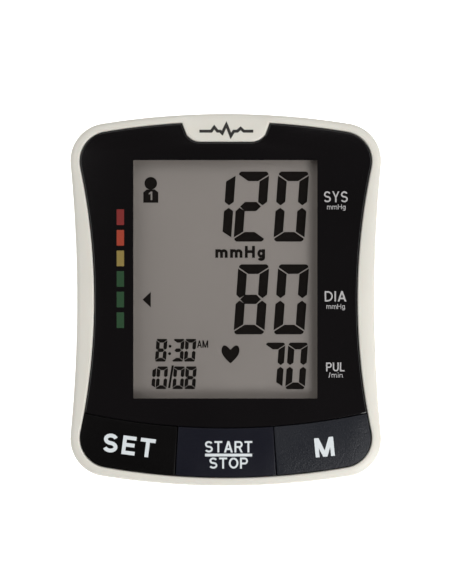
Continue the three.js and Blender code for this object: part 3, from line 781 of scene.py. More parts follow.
@dataclass(frozen=True)
class Word:
    """A word in stroke letters on a flat level of the face, in face millimetres.

    Args:
        text: the word.
        centre: middle of its width and of its capitals' height.
        width: distance from its first letter's left to its last letter's right.
        height: height of its capitals.
        stroke: width of its strokes.
        turn: rotation in degrees, anticlockwise.
        space: gap between letters, as a share of the height.
    """

    text: str
    centre: Point
    width: float
    height: float
    stroke: float
    turn: float = 0.0
    space: float = 0.17

    STEP = 0.004  # each stroke lies this much under the last, so that no faces coincide

    def skin(self, bottom: float, top: float) -> Skin:
        """The word as thin raised strokes between two levels."""
        letters = Letters(self.stroke / self.height)
        starts = []
        cursor = 0.0
        for letter in self.text:
            starts.append(cursor)
            cursor += letters.width(letter) + self.space
        squeeze = self.width / ((cursor - self.space) * self.height)
        turn = math.radians(self.turn)
        skin = Skin()

        def placed(points: Points, start: float) -> list[Point]:
            """Points of a letter turned into face millimetres."""
            made = []
            for x, y in points:
                u = (start + x) * self.height * squeeze - self.width / 2
                v = (y - 0.5) * self.height
                made.append((self.centre[0] + u * math.cos(turn) - v * math.sin(turn),
                             self.centre[1] + u * math.sin(turn) + v * math.cos(turn)))
            return made

        for letter, start in zip(self.text, starts):
            high = top
            for loop in letters.slants(letter):
                skin.slab(placed(loop, start), bottom, high)
                high -= self.STEP
            for path in letters.paths(letter):
                skin.add(ribbon(placed(path, start), self.stroke, bottom, high))
                high -= self.STEP
        return skin


# --- finishes
def linear(rgb: Rgb) -> tuple[float, float, float, float]:
    """A colour given as 0 to 255 display values, as linear light with an alpha of 1."""
    parts = [value / 255 for value in rgb]
    light = [p / 12.92 if p <= 0.04045 else ((p + 0.055) / 1.055) ** 2.4 for p in parts]
    return (*light, 1.0)


class NodeSheet:
    """Adds nodes and links to one node tree."""

    def __init__(self, tree: Tree) -> None:
        """Starts on an empty or a new tree."""
        self.tree = tree

    def add(self, kind: str, inputs: dict[str | int, object] | None = None,
            **settings: object) -> Node:
        """Adds a node.

        Args:
            kind: the node's type name.
            inputs: values or sockets for its inputs, by name or index.
            settings: its properties.

        Returns:
            The node.
        """
        node = self.tree.nodes.new(kind)
        for key, value in settings.items():
            setattr(node, key, value)
        for key, value in (inputs or {}).items():
            self.feed(node.inputs[key], value)
        return node

    def feed(self, target: Socket, value: object) -> None:
        """Links a socket to an input, or sets the input to a plain value."""
        if isinstance(value, Socket):
            self.tree.links.new(value, target)
        else:
            target.default_value = value

    def maths(self, operation: str, *values: object) -> Socket:
        """The result of a Math node on values or sockets."""
        node = self.add("ShaderNodeMath", dict(enumerate(values)), operation=operation)
        return node.outputs[0]

    def remap(self, value: Socket, low: float, high: float, to_low: object,
              to_high: object) -> Socket:
        """A value moved from one range to another, clamped."""
        node = self.add("ShaderNodeMapRange", {
            "Value": value, "From Min": low, "From Max": high, "To Min": to_low, "To Max": to_high,
        })
        return node.outputs["Result"]

    def mix(self, factor: object, first: object, second: object,
            blend: str = "MIX") -> Socket:
        """Two colours mixed."""
        node = self.add("ShaderNodeMix", {0: factor, 6: first, 7: second},
                        data_type="RGBA", blend_type=blend)
        return node.outputs[2]

    def shaded(self, colour: object, level: Socket) -> Socket:
        """A colour times a grey level."""
        grey = self.add("ShaderNodeCombineColor", {"Red": level, "Green": level, "Blue": level})
        return self.mix(1.0, colour, grey.outputs[0], "MULTIPLY")

    def parts(self, vector: Socket) -> Sequence[Socket]:
        """The three parts of a vector."""
        return self.add("ShaderNodeSeparateXYZ", {0: vector}).outputs

    def vector(self, x: object = 0.0, y: object = 0.0, z: object = 0.0) -> Socket:
        """A vector from its three parts."""
        return self.add("ShaderNodeCombineXYZ", {"X": x, "Y": y, "Z": z}).outputs[0]

    def group(self, tree: Tree, inputs: dict[str, object]) -> Node:
        """Places a shader group with its own values."""
        return self.add("ShaderNodeGroup", inputs, node_tree=tree)

    def noise(self, vector: Socket, scale: object,
              detail: float = 3.0) -> Socket:
        """A noise value around 0.5."""
        node = self.add("ShaderNodeTexNoise", {"Vector": vector, "Scale": scale, "Detail": detail})
        return node.outputs["Fac"]


def add_inputs(tree: Tree, inputs: Mapping[str, object]) -> None:
    """Adds inputs to a node group: of a named kind, or of a number's kind with its value."""
    for label, value in inputs.items():
        kind = {float: "Float", int: "Int"}.get(type(value), value)
        socket = tree.interface.new_socket(label, in_out="INPUT", socket_type=f"NodeSocket{kind}")
        if kind != value:
            socket.default_value = value


def new_group(name: str, inputs: Mapping[str, object], outputs: Mapping[str, str]
              ) -> tuple[NodeSheet, Mapping[str, Socket], Mapping[str, Socket]]:
    """Starts a shader node group.

    Args:
        name: the group's name.
        inputs: kind or number by input name.
        outputs: kind of socket by output name.

    Returns:
        The sheet to draw on, the values given to the group and the sockets it fills.
    """
    tree = bpy.data.node_groups.new(name, "ShaderNodeTree")
    add_inputs(tree, inputs)
    for label, kind in outputs.items():
        tree.interface.new_socket(label, in_out="OUTPUT", socket_type="NodeSocket" + kind)
    sheet = NodeSheet(tree)
    return sheet, sheet.add("NodeGroupInput").outputs, sheet.add("NodeGroupOutput").inputs


def grain_group() -> Tree:
    """Moulded grain: a fine bump and a roughness that drifts and speckles with it."""
    sheet, given, made = new_group(
        "Surface grain",
        {"Vector": "Vector", "Scale": 1000.0, "Depth": 0.1, "Base Roughness": 0.4, "Spread": 0.05},
        {"Roughness": "Float", "Normal": "Vector"},
    )
    fine = sheet.noise(given["Vector"], given["Scale"], 2.0)
    broad = sheet.noise(given["Vector"], 55.0, 3.0)
    both = sheet.maths("ADD", sheet.maths("MULTIPLY", fine, 0.4),
                       sheet.maths("MULTIPLY", broad, 0.6))
    swing = sheet.maths("MULTIPLY", sheet.maths("SUBTRACT", both, 0.5), given["Spread"])
    rough = sheet.maths("ADD", given["Base Roughness"], sheet.maths("MULTIPLY", swing, 4.0))
    bump = sheet.add("ShaderNodeBump", {
        "Strength": given["Depth"], "Distance": 0.0002, "Height": fine,
    })
    sheet.feed(made["Roughness"], rough)
    sheet.feed(made["Normal"], bump.outputs["Normal"])
    return sheet.tree


def tone_group() -> Tree:
    """A colour that drifts slightly lighter and darker over a piece."""
    sheet, given, made = new_group(
        "Tone drift",
        {"Vector": "Vector", "Colour": "Color", "Amount": 0.04, "Scale": 20.0},
        {"Colour": "Color"},
    )
    drift = sheet.noise(given["Vector"], given["Scale"], 3.0)
    low = sheet.maths("SUBTRACT", 1.0, given["Amount"])
    high = sheet.maths("ADD", 1.0, given["Amount"])
    level = sheet.remap(drift, 0.3, 0.7, low, high)
    sheet.feed(made["Colour"], sheet.shaded(given["Colour"], level))
    return sheet.tree


def window_group() -> Tree:
    """A mask that is 1 outside a rectangle of the face and 0 inside it, in face millimetres."""
    sheet, given, made = new_group(
        "Window mask",
        {"Vector": "Vector", "Left": -1.0, "Right": 1.0, "Bottom": -1.0, "Top": 1.0},
        {"Mask": "Float"},
    )
    place = sheet.parts(given["Vector"])
    whole = 0.0
    for axis, low, high in ((0, "Left", "Right"), (1, "Bottom", "Top")):
        for test, limit in (("LESS_THAN", low), ("GREATER_THAN", high)):
            outside = sheet.maths(test, place[axis], given[limit])
            whole = sheet.maths("MAXIMUM", whole, outside)
    sheet.feed(made["Mask"], whole)
    return sheet.tree


GRAIN = grain_group()
TONE = tone_group()
WINDOW_MASK = window_group()


@dataclass(frozen=True)
class Finish:
    """A moulded, metal or rubber finish.

    Args:
        name: the material's name.
        colour: display colour, 0 to 255.
        roughness: middle roughness.
        metallic: 1 for bare metal.
        grain: scale of the grain, in cells per metre.
        depth: depth of the grain's bump.
        spread: how far the roughness wanders.
        tone: how far the colour wanders.
        coat: weight of a clear gloss on top.
        specular: strength of the plain surface's shine.
        subsurface: share of light that scatters inside.
    """

    name: str
    colour: Rgb
    roughness: float = 0.45
    metallic: float = 0.0
    grain: float = 1500.0
    depth: float = 0.12
    spread: float = 0.06
    tone: float = 0.03
    coat: float = 0.0
    specular: float = 0.5
    subsurface: float = 0.0

    def start(self) -> tuple[Material, NodeSheet, Node, Socket]:
        """Makes the material with its plain numbers set.

        Returns:
            The material, its sheet, its shader and its Object coordinates.
        """
        material = bpy.data.materials.new(self.name)
        material.use_nodes = True
        sheet = NodeSheet(material.node_tree)
        shader = material.node_tree.nodes["Principled BSDF"]
        plain = {
            "Metallic": self.metallic, "Specular IOR Level": self.specular,
            "Coat Weight": self.coat, "Coat Roughness": 0.04,
            "Subsurface Weight": self.subsurface, "Subsurface Scale": 0.002,
        }
        for key, value in plain.items():
            sheet.feed(shader.inputs[key], value)
        where = sheet.add("ShaderNodeTexCoord").outputs["Object"]
        return material, sheet, shader, where

    def dress(self, sheet: NodeSheet, shader: Node,
              where: Socket, colour: object = None) -> Socket:
        """Links the grain and the colour.

        Args:
            sheet: the material's sheet.
            shader: its shader.
            where: its Object coordinates.
            colour: a colour socket, or None for the finish's own colour.

        Returns:
            The colour socket that feeds the shader.
        """
        grain = sheet.group(GRAIN, {
            "Vector": where, "Scale": self.grain, "Depth": self.depth,
            "Base Roughness": self.roughness, "Spread": self.spread,
        })
        tone = sheet.group(TONE, {
            "Vector": where, "Colour": linear(self.colour) if colour is None else colour,
            "Amount": self.tone, "Scale": 24.0,
        })
        sheet.feed(shader.inputs["Roughness"], grain.outputs["Roughness"])
        sheet.feed(shader.inputs["Normal"], grain.outputs["Normal"])
        sheet.feed(shader.inputs["Base Color"], tone.outputs["Colour"])
        return tone.outputs["Colour"]

    def build(self) -> Material:
        """Makes the finished material."""
        material, sheet, shader, where = self.start()
        self.dress(sheet, shader, where)
        return material


def on_face(sheet: NodeSheet, where: Socket) -> Socket:
    """Object coordinates turned into face millimetres."""
    back = ON_FACE.inverted()
    shift, turn, scale = back.decompose()
    node = sheet.add("ShaderNodeMapping", {
        "Vector": where, "Location": shift, "Rotation": turn.to_euler(), "Scale": scale,
    }, vector_type="POINT")
    return node.outputs[0]


@dataclass(frozen=True)
class LensFinish(Finish):
    """Clear acrylic with black print behind it everywhere but at the window."""

    clearness: float = 0.06

    def build(self) -> Material:
        """Makes the material, with the window's alpha from its place on the face."""
        material, sheet, shader, where = self.start()
        self.dress(sheet, shader, where)
        sides = dict(zip(("Left", "Right", "Bottom", "Top"), DISPLAY_WINDOW))
        mask = sheet.group(WINDOW_MASK, {"Vector": on_face(sheet, where), **sides})
        alpha = sheet.remap(mask.outputs["Mask"], 0, 1, self.clearness, 1.0)
        sheet.feed(shader.inputs["Alpha"], alpha)
        return material


@dataclass(frozen=True)
class PaintedShadeCellFinish(Finish):
    """The grey reflective cell, with painted shading: its colour is painted a little darker at the
    bottom and lighter up the face.
    """

    def build(self) -> Material:
        """Makes the material."""
        material, sheet, shader, where = self.start()
        height = sheet.parts(on_face(sheet, where))[1]
        # Painted shading: the colour runs from 0.93 of itself at the bottom of the window to 1.05
        # at the top.
        level = sheet.remap(height, -36.0, 49.0, 0.93, 1.05)
        self.dress(sheet, shader, where, sheet.shaded(linear(self.colour), level))
        return material


@dataclass(frozen=True)
class BoardFinish(Finish):
    """Solder mask with lighter copper runs under it."""

    run: Rgb = (58, 132, 84)

    def build(self) -> Material:
        """Makes the material, with runs drawn by a brick pattern."""
        material, sheet, shader, where = self.start()
        runs = sheet.add("ShaderNodeTexBrick", {
            "Vector": on_face(sheet, where), "Scale": 0.16, "Mortar Size": 0.03, "Bias": 0.0,
            "Brick Width": 0.9, "Row Height": 0.35,
        })
        for key, colour in (("Color1", self.colour), ("Color2", self.colour),
                            ("Mortar", self.run)):
            runs.inputs[key].default_value = linear(colour)
        self.dress(sheet, shader, where, runs.outputs["Color"])
        return material


@dataclass(frozen=True)
class CellFinish(Finish):
    """A cell's printed jacket with a bright band and bare metal ends.

    Args:
        start_x: where the jacket starts along X, in metres.
        end_x: where it ends.
        band_x: middle of the bright band.
        band_half: half the width of the bright band.
    """

    start_x: float = 0.0
    end_x: float = 0.05
    band_x: float = 0.04
    band_half: float = 0.0045
    band: Rgb = (196, 160, 84)
    bare: Rgb = (196, 196, 192)

    def build(self) -> Material:
        """Makes the material, with its bands from the place along the cell."""
        material, sheet, shader, where = self.start()
        along = sheet.parts(where)[0]
        off = sheet.maths("ABSOLUTE", sheet.maths("SUBTRACT", along, self.band_x))
        in_band = sheet.maths("LESS_THAN", off, self.band_half)
        printed = sheet.mix(in_band, linear(self.colour), linear(self.band))
        bare = sheet.maths("MAXIMUM", sheet.maths("LESS_THAN", along, self.start_x),
                           sheet.maths("GREATER_THAN", along, self.end_x))
        self.dress(sheet, shader, where, sheet.mix(bare, printed, linear(self.bare)))
        sheet.feed(shader.inputs["Metallic"],
                   sheet.maths("MAXIMUM", bare, sheet.maths("MULTIPLY", in_band, 0.6)))
        return material


class Slot(Enum):
    """The record's material slots, with the finish that each one's plain pieces get."""

    IVORY = ("ivory_shell", Finish("ivory shell", (200, 197, 188), 0.42, depth=0.1,
                                   subsurface=0.04))
    WINDOW = ("clear_window", LensFinish("black window", (11, 9, 10), 0.12, depth=0.01,
                                         spread=0.02, tone=0.1, specular=0.5))
    PRINT = ("black_print", Finish("black print", (12, 11, 11), 0.5, depth=0.03))
    # The keys are one dark satin plastic. These three copies differ in colour and shine to paint
    # the light: painted shade on set, a painted blue reflection on start/stop and a painted sheen
    # on memory.
    KEY_BLACK = ("key_black", Finish("black key", (4, 3, 3), 0.4, depth=0.25, specular=0.09))
    KEY_NAVY = ("key_navy", Finish("navy key", (9, 10, 21), 0.42, depth=0.2, specular=0.18))
    KEY_SLATE = ("key_slate", Finish("slate key", (5, 8, 18), 0.46, grain=1700.0, depth=0.5,
                                     spread=0.1, tone=0.1, specular=0.35))
    DISPLAY = ("display_glass", PaintedShadeCellFinish("display cell", (134, 128, 123), 0.35, depth=0.02,
                                              tone=0.015, coat=0.5))
    WHITE = ("white_plastic", Finish("natural plastic", (226, 226, 220), 0.5, subsurface=0.05))
    BOARD = ("board_laminate", BoardFinish("solder mask", (34, 88, 52), 0.35, coat=0.3))
    CHIP = ("chip_black", Finish("moulded package", (30, 30, 32), 0.55, depth=0.3))
    RUBBER = ("rubber_black", Finish("soft rubber", (38, 38, 40), 0.75, depth=0.4, specular=0.3))
    SILICONE = ("silicone_clear", Finish("silicone", (214, 210, 198), 0.45, subsurface=0.2))
    STEEL = ("steel", Finish("bright steel", (186, 188, 192), 0.32, 1.0, depth=0.08))
    NICKEL = ("nickel_contact", Finish("nickel plate", (200, 196, 186), 0.25, 1.0, depth=0.05))
    BRASS = ("brass", Finish("turned brass", (190, 156, 88), 0.3, 1.0, depth=0.06))
    CELL = ("cell_jacket", CellFinish("cell jacket", (38, 62, 116), 0.3, coat=0.3))

    def __init__(self, label: str, finish: Finish) -> None:
        """Keeps the slot's name in the record and its finish."""
        self.label = label
        self.finish = finish


MATERIALS: dict[Slot, Material] = {}


def material_of(slot: Slot) -> Material:
    """The slot's material, built when it is first asked for."""
    if slot not in MATERIALS:
        MATERIALS[slot] = slot.finish.build()
    return MATERIALS[slot]


def slot_named(label: str) -> Slot:
    """The slot with a name from the record."""
    return next(slot for slot in Slot if slot.label == label)


def finish_piece(name: str, shape: Skin | Mesh, slot: Slot, stands_for: Sequence[str] = (),
                 body: str = ROOT_BODY, material: Material | None = None) -> None:
    """Makes a piece of the object.

    Args:
        name: the piece's name.
        shape: its surface on the face, or its mesh in model metres.
        slot: the record's material slot, whose material it wears unless another is given.
        stands_for: the CAD nodes that it replaces.
        body: the CAD body that it moves with.
        material: its material, if it isn't the slot's own.
    """
    mesh = shape.mesh(name, ON_FACE) if isinstance(shape, Skin) else shape
    mesh.name = name
    piece = new_object(name, mesh, material or material_of(slot))
    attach(piece, body)
    if stands_for:
        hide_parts(*stands_for)
    log.info("%s: %d faces on %s", name, len(mesh.polygons), body)


# --- repeated shapes
class Grower:
    """A Geometry Nodes tree with named inputs, ending in Realize Instances and Set Material."""

    def __init__(self, name: str, inputs: Mapping[str, object]) -> None:
        """Starts the tree.

        Args:
            name: the tree's name.
            inputs: kind or number by input name.
        """
        self.tree = bpy.data.node_groups.new(name, "GeometryNodeTree")
        self.tree.interface.new_socket("Geometry", in_out="OUTPUT",
                                       socket_type="NodeSocketGeometry")
        add_inputs(self.tree, {"Geometry": "Geometry", **inputs, "Material": "Material"})
        self.sheet = NodeSheet(self.tree)
        self.given = self.sheet.add("NodeGroupInput").outputs
        self.made = self.sheet.add("NodeGroupOutput").inputs

    def tube(self, path: Node, sides: int, radius: Socket) -> Socket:
        """A closed tube along a path."""
        section = self.sheet.add("GeometryNodeCurvePrimitiveCircle", {
            "Resolution": sides, "Radius": radius,
        })
        tube = self.sheet.add("GeometryNodeCurveToMesh", {
            "Curve": path.outputs[0], "Profile Curve": section.outputs[0], "Fill Caps": True,
        })
        return tube.outputs[0]

    def close(self, points: Node, shape: Socket, turn: object = (0.0, 0.0, 0.0)) -> None:
        """Ends the tree with real copies of a shape at points, in the given material."""
        copies = self.sheet.add("GeometryNodeInstanceOnPoints", {
            "Points": points.outputs[0], "Instance": shape, "Rotation": turn,
        })
        real = self.sheet.add("GeometryNodeRealizeInstances", {0: copies.outputs[0]})
        worn = self.sheet.add("GeometryNodeSetMaterial", {
            "Geometry": real.outputs[0], "Material": self.given["Material"],
        })
        self.tree.links.new(worn.outputs[0], self.made["Geometry"])

    def grow(self, name: str, slot: Slot, place: Matrix, sizes: Mapping[str, float],
             stands_for: Sequence[str] = (), master: Mesh | None = None,
             body: str = ROOT_BODY) -> None:
        """Runs the tree once and makes the result a piece.

        Args:
            name: the piece's name.
            slot: the record's material slot that it belongs to.
            place: change from millimetres to model metres.
            sizes: values of the named inputs.
            stands_for: the CAD nodes that it replaces.
            master: the mesh that the tree copies, if it copies one.
            body: the CAD body that it moves with.
        """
        host = new_object(name + "_host", master or bpy.data.meshes.new(name + "_host"))
        modifier = host.modifiers.new("grow", "NODES")
        modifier.node_group = self.tree
        keys = {
            item.name: item.identifier
            for item in self.tree.interface.items_tree
            if item.item_type == "SOCKET" and item.in_out == "INPUT"
        }
        for label, value in {**sizes, "Material": material_of(slot)}.items():
            modifier[keys[label]] = value
        mesh = applied(host)
        bpy.data.objects.remove(host)
        mesh.transform(place)
        smooth(mesh)
        finish_piece(name, mesh, slot, stands_for, body)


def corner_grower() -> Grower:
    """Four copies of the given geometry at the corners of a trapezium on a slope."""
    grower = Grower("Four corners", {
        "Front Half X": 40.0, "Rear Half X": 40.0,
        "Front Y": -40.0, "Rear Y": 40.0,
        "Base Z": 0.0, "Slope": 0.0,
    })
    sheet, given = grower.sheet, grower.given
    index = sheet.add("GeometryNodeInputIndex").outputs[0]
    side = sheet.maths("SUBTRACT", sheet.maths("MULTIPLY", sheet.maths("MODULO", index, 2.0), 2.0),
                       1.0)
    rear = sheet.maths("FLOOR", sheet.maths("DIVIDE", index, 2.0))
    half = sheet.remap(rear, 0, 1, given["Front Half X"], given["Rear Half X"])
    along = sheet.remap(rear, 0, 1, given["Front Y"], given["Rear Y"])
    height = sheet.maths("ADD", given["Base Z"], sheet.maths("MULTIPLY", along, given["Slope"]))
    place = sheet.vector(sheet.maths("MULTIPLY", side, half), along, height)
    points = sheet.add("GeometryNodePoints", {"Count": 4, "Position": place})
    grower.close(points, given["Geometry"])
    return grower


def rib_grower() -> Grower:
    """A row of round-backed ribs along X, each lying along Y, centred on the origin."""
    grower = Grower("Rib row", {
        "Count": 5, "Pitch": 2.0, "Length": 10.0,
        "Radius": 0.5, "Flatness": 1.0,
    })
    sheet, given = grower.sheet, grower.given
    reach = sheet.maths("MULTIPLY", given["Length"], 0.5)
    path = sheet.add("GeometryNodeCurvePrimitiveLine", {
        "Start": sheet.vector(0.0, sheet.maths("MULTIPLY", reach, -1.0)),
        "End": sheet.vector(0.0, reach),
    })
    flat = sheet.add("GeometryNodeTransform", {
        "Geometry": grower.tube(path, 14, given["Radius"]),
        "Scale": sheet.vector(1.0, 1.0, given["Flatness"]),
    })
    gaps = sheet.maths("SUBTRACT", given["Count"], 1.0)
    first = sheet.maths("MULTIPLY", sheet.maths("MULTIPLY", gaps, given["Pitch"]), -0.5)
    row = sheet.add("GeometryNodeMeshLine", {
        "Count": given["Count"], "Start Location": sheet.vector(first),
        "Offset": sheet.vector(given["Pitch"]),
    })
    grower.close(row, flat.outputs[0])
    return grower


def coil_grower() -> Grower:
    """Four tapered coils side by side along Y, facing +X and -X in turn."""
    grower = Grower("Contact coils", {
        "Radius": 3.4, "Tip Radius": 2.6, "Length": 4.0,
        "Turns": 3.5, "Wire": 0.35, "Left X": 0.0,
        "Right X": 50.0, "First Y": 0.0, "Pitch": 15.0,
        "Z": 11.0,
    })
    sheet, given = grower.sheet, grower.given
    path = sheet.add("GeometryNodeCurveSpiral", {
        "Resolution": 26, "Rotations": given["Turns"], "Start Radius": given["Radius"],
        "End Radius": given["Tip Radius"], "Height": given["Length"],
    })
    index = sheet.add("GeometryNodeInputIndex").outputs[0]
    odd = sheet.maths("MODULO", index, 2.0)
    row_y = sheet.maths("ADD", given["First Y"], sheet.maths("MULTIPLY", index, given["Pitch"]))
    place = sheet.vector(sheet.remap(odd, 0, 1, given["Left X"], given["Right X"]), row_y,
                         given["Z"])
    points = sheet.add("GeometryNodePoints", {"Count": 4, "Position": place})
    turn = sheet.vector(0.0, sheet.remap(odd, 0, 1, math.pi / 2, -math.pi / 2))
    grower.close(points, grower.tube(path, 10, given["Wire"]), turn)
    return grower


# --- front cover
@dataclass
class CoverShell:
    """The ivory front cover: crowned rim, tab, skirt and the plate behind the panel.

    Args:
        bevel: rounding of the rim's inner edge.
        fullness: how flat the rim's crown stays before it falls to the wall.
        crown_steps: rings over the crown.
        window_margin: how far the plate's opening stands back from the display window.
        foot_edge: rounding of the skirt's lower edge.
    """

    bevel: float = 0.6
    fullness: float = 2.3
    crown_steps: int = 12
    window_margin: float = 0.7
    foot_edge: float = 0.35
    mark: tuple[Point, ...] = (
        (-8.9, 56.9), (-4.9, 56.9), (-3.9, 58.3), (-2.8, 56.9), (-1.9, 56.9), (-1.2, 56.2),
        (0.2, 59.2), (1.7, 55.3), (2.7, 56.9), (3.9, 56.9), (5.0, 57.9), (6.1, 56.9), (9.3, 56.9),
    )
    mark_width: float = 1.0

    def window_ring(self, loop: Points) -> list[Point]:
        """The plate's opening, with one point for each point of a loop round it."""
        left, right, bottom, top = DISPLAY_WINDOW
        middle = ((left + right) / 2, (bottom + top) / 2)
        half = ((right - left) / 2 + self.window_margin, (top - bottom) / 2 + self.window_margin)
        ring = []
        for u, v in loop:
            du, dv = u - middle[0], v - middle[1]
            reach = min(half[0] / max(abs(du), 1e-9), half[1] / max(abs(dv), 1e-9))
            ring.append((middle[0] + du * reach, middle[1] + dv * reach))
        for su in (-1, 1):
            for sv in (-1, 1):
                corner = (middle[0] + su * half[0], middle[1] + sv * half[1])
                nearest = min(range(len(ring)), key=lambda i: math.dist(ring[i], corner))
                ring[nearest] = corner
        return ring

    def body(self) -> Skin:
        """The shell's closed surface, without its holes."""
        skin = Skin()
        outer = OUTER.ring()
        inner = PANEL.set_in(-self.bevel).ring(-self.bevel)
        levels = [(outer, SKIRT_BOTTOM + self.foot_edge)]
        for i in range(self.crown_steps + 1):
            share = math.sin(math.pi / 2 * (1 - i / (self.crown_steps + 1)))
            fall = 1 - (1 - share**self.fullness) ** (1 / self.fullness)
            loop = [between(a, b, share) for a, b in zip(inner, outer)]
            levels.append((loop, RIM_EDGE * fall))
        for i in range(5):
            angle = math.pi / 2 * (1 - i / 4)
            out = self.bevel * (1 - math.cos(angle))
            levels.append((PANEL.set_in(-out).ring(-out), -self.bevel * (1 - math.sin(angle))))
        loop = PANEL.ring(0.0)
        window = self.window_ring(loop)
        inside = OUTER.set_in(WALL).ring()
        levels += [
            (loop, PLATE_TOP), (window, PLATE_TOP), (window, PLATE_BOTTOM),
            (inside, PLATE_BOTTOM), (inside, SKIRT_BOTTOM),
            (OUTER.set_in(self.foot_edge).ring(), SKIRT_BOTTOM),
        ]
        skin.tower([skin.ring(*level) for level in levels], closed=True)
        return skin

    def posts(self) -> list[Skin]:
        """Bosses under the plate for the case screws and posts for the board screws."""
        bosses = []
        middle = (PLATE_TOP + PLATE_BOTTOM) / 2
        for x, y in CASE_SCREWS.points():
            low = FACE.level_height(SPLIT_LEVEL, y) + GAP
            high = FACE.level_height(middle, y)
            bosses.append(rod("z", low, high, x, y, 3.4).moved(TABLE_TO_FACE))
        for u, v in BOARD_SCREWS.points():
            bosses.append(rod("z", -8.7, PLATE_BOTTOM + 1, u, v, 2.1))
        return bosses

    def holes(self) -> list[Skin]:
        """Screw pilots, and the openings for the keys' stems and hooks."""
        made = []
        for x, y in CASE_SCREWS.points():
            low = FACE.level_height(SPLIT_LEVEL, y) - 1
            made.append(rod("z", low, low + 8.2, x, y, 1.6, 20).moved(TABLE_TO_FACE))
        for u, v in BOARD_SCREWS.points():
            made.append(rod("z", -10, PLATE_BOTTOM - 0.4, u, v, 1.3, 20))
        for key in KEYS:
            u, v = key.stem
            made.append(rod("z", PLATE_BOTTOM - 1, PLATE_TOP + 1, u, v, 2.8))
            for hu, hv in key.hooks:
                made.append(Skin().box((hu - 0.95, hv - 1.85, PLATE_BOTTOM - 1),
                                       (hu + 0.95, hv + 1.85, PLATE_TOP + 1)))
        return made

    def painted_shade_sheet(self) -> None:
        """A black sheet on the plate, behind the lens and the keys: painted shade, which shows only
        in the seams round the lens and the keys, where the gaps are in shade.
        """
        skin = Skin()
        loop = PANEL.set_in(0.05).ring(0.05)
        window = self.window_ring(loop)
        low, high = PLATE_TOP + 0.01, PLATE_TOP + 0.08
        skin.tower([skin.ring(loop, low), skin.ring(loop, high), skin.ring(window, high),
                    skin.ring(window, low)], closed=True)
        mesh = carve(skin, (), self.holes(), ON_FACE)
        # Painted shade: a black sheet that darkens the seams, where there is only shade.
        finish_piece("recess_film", mesh, Slot.PRINT)

    def build(self) -> None:
        """Makes the shell, its black sheet of painted seam shade and the pulse mark on its tab."""
        self.painted_shade_sheet()
        surface = self.body()
        mesh = carve(surface, self.posts(), self.holes(), ON_FACE)
        finish_piece("front_shell", mesh, Slot.IVORY, ["front_cover"])
        tree = BVHTree.FromPolygons(surface.points, surface.faces)
        print_skin = ribbon(densified(self.mark, 0.35), self.mark_width, -0.08, 0.035)
        for point in print_skin.points:
            hit = tree.ray_cast(Vector((point.x, point.y, 5)), Vector((0, 0, -1)))[0]
            point.z += hit.z
        black = Finish("mark ink", (24, 21, 19), 0.5, depth=0.02).build()
        finish_piece("pulse_mark", print_skin, Slot.PRINT,
                     material=black)


# --- keys
@dataclass(frozen=True)
class Key:
    """One key of the row.

    Args:
        name: the key's name in the model.
        slot: its finish.
        stem: the middle of its stem on the face.
        hooks: the middles of its two snap hooks.
        labels: what is printed on it.
    """

    name: str
    slot: Slot
    stem: Point
    hooks: tuple[Point, Point]
    labels: tuple[Word, ...]


# Each key wears its own copy of the key plastic: set the painted shade, start/stop the painted blue
# reflection and memory the painted sheen.
KEYS = (
    Key("set", Slot.KEY_BLACK, (-31.5, -50), ((-42.5, -48), (-21, -51)),
        (Word("SET", (-32.7, -49.15), 17.6, 6.35, 1.28, -7.5, 0.22),)),
    Key("start_stop", Slot.KEY_NAVY, (0, -51.5), ((-12, -51.5), (12, -51.5)),
        (Word("START", (0.95, -49.6), 16.0, 3.85, 0.62),
         Word("STOP", (0.95, -55.1), 13.0, 3.75, 0.62))),
    Key("memory", Slot.KEY_SLATE, (31.5, -50), ((42.5, -48), (21, -51)),
        (Word("M", (33.3, -49.7), 6.5, 6.5, 1.3, 5.5),)),
)


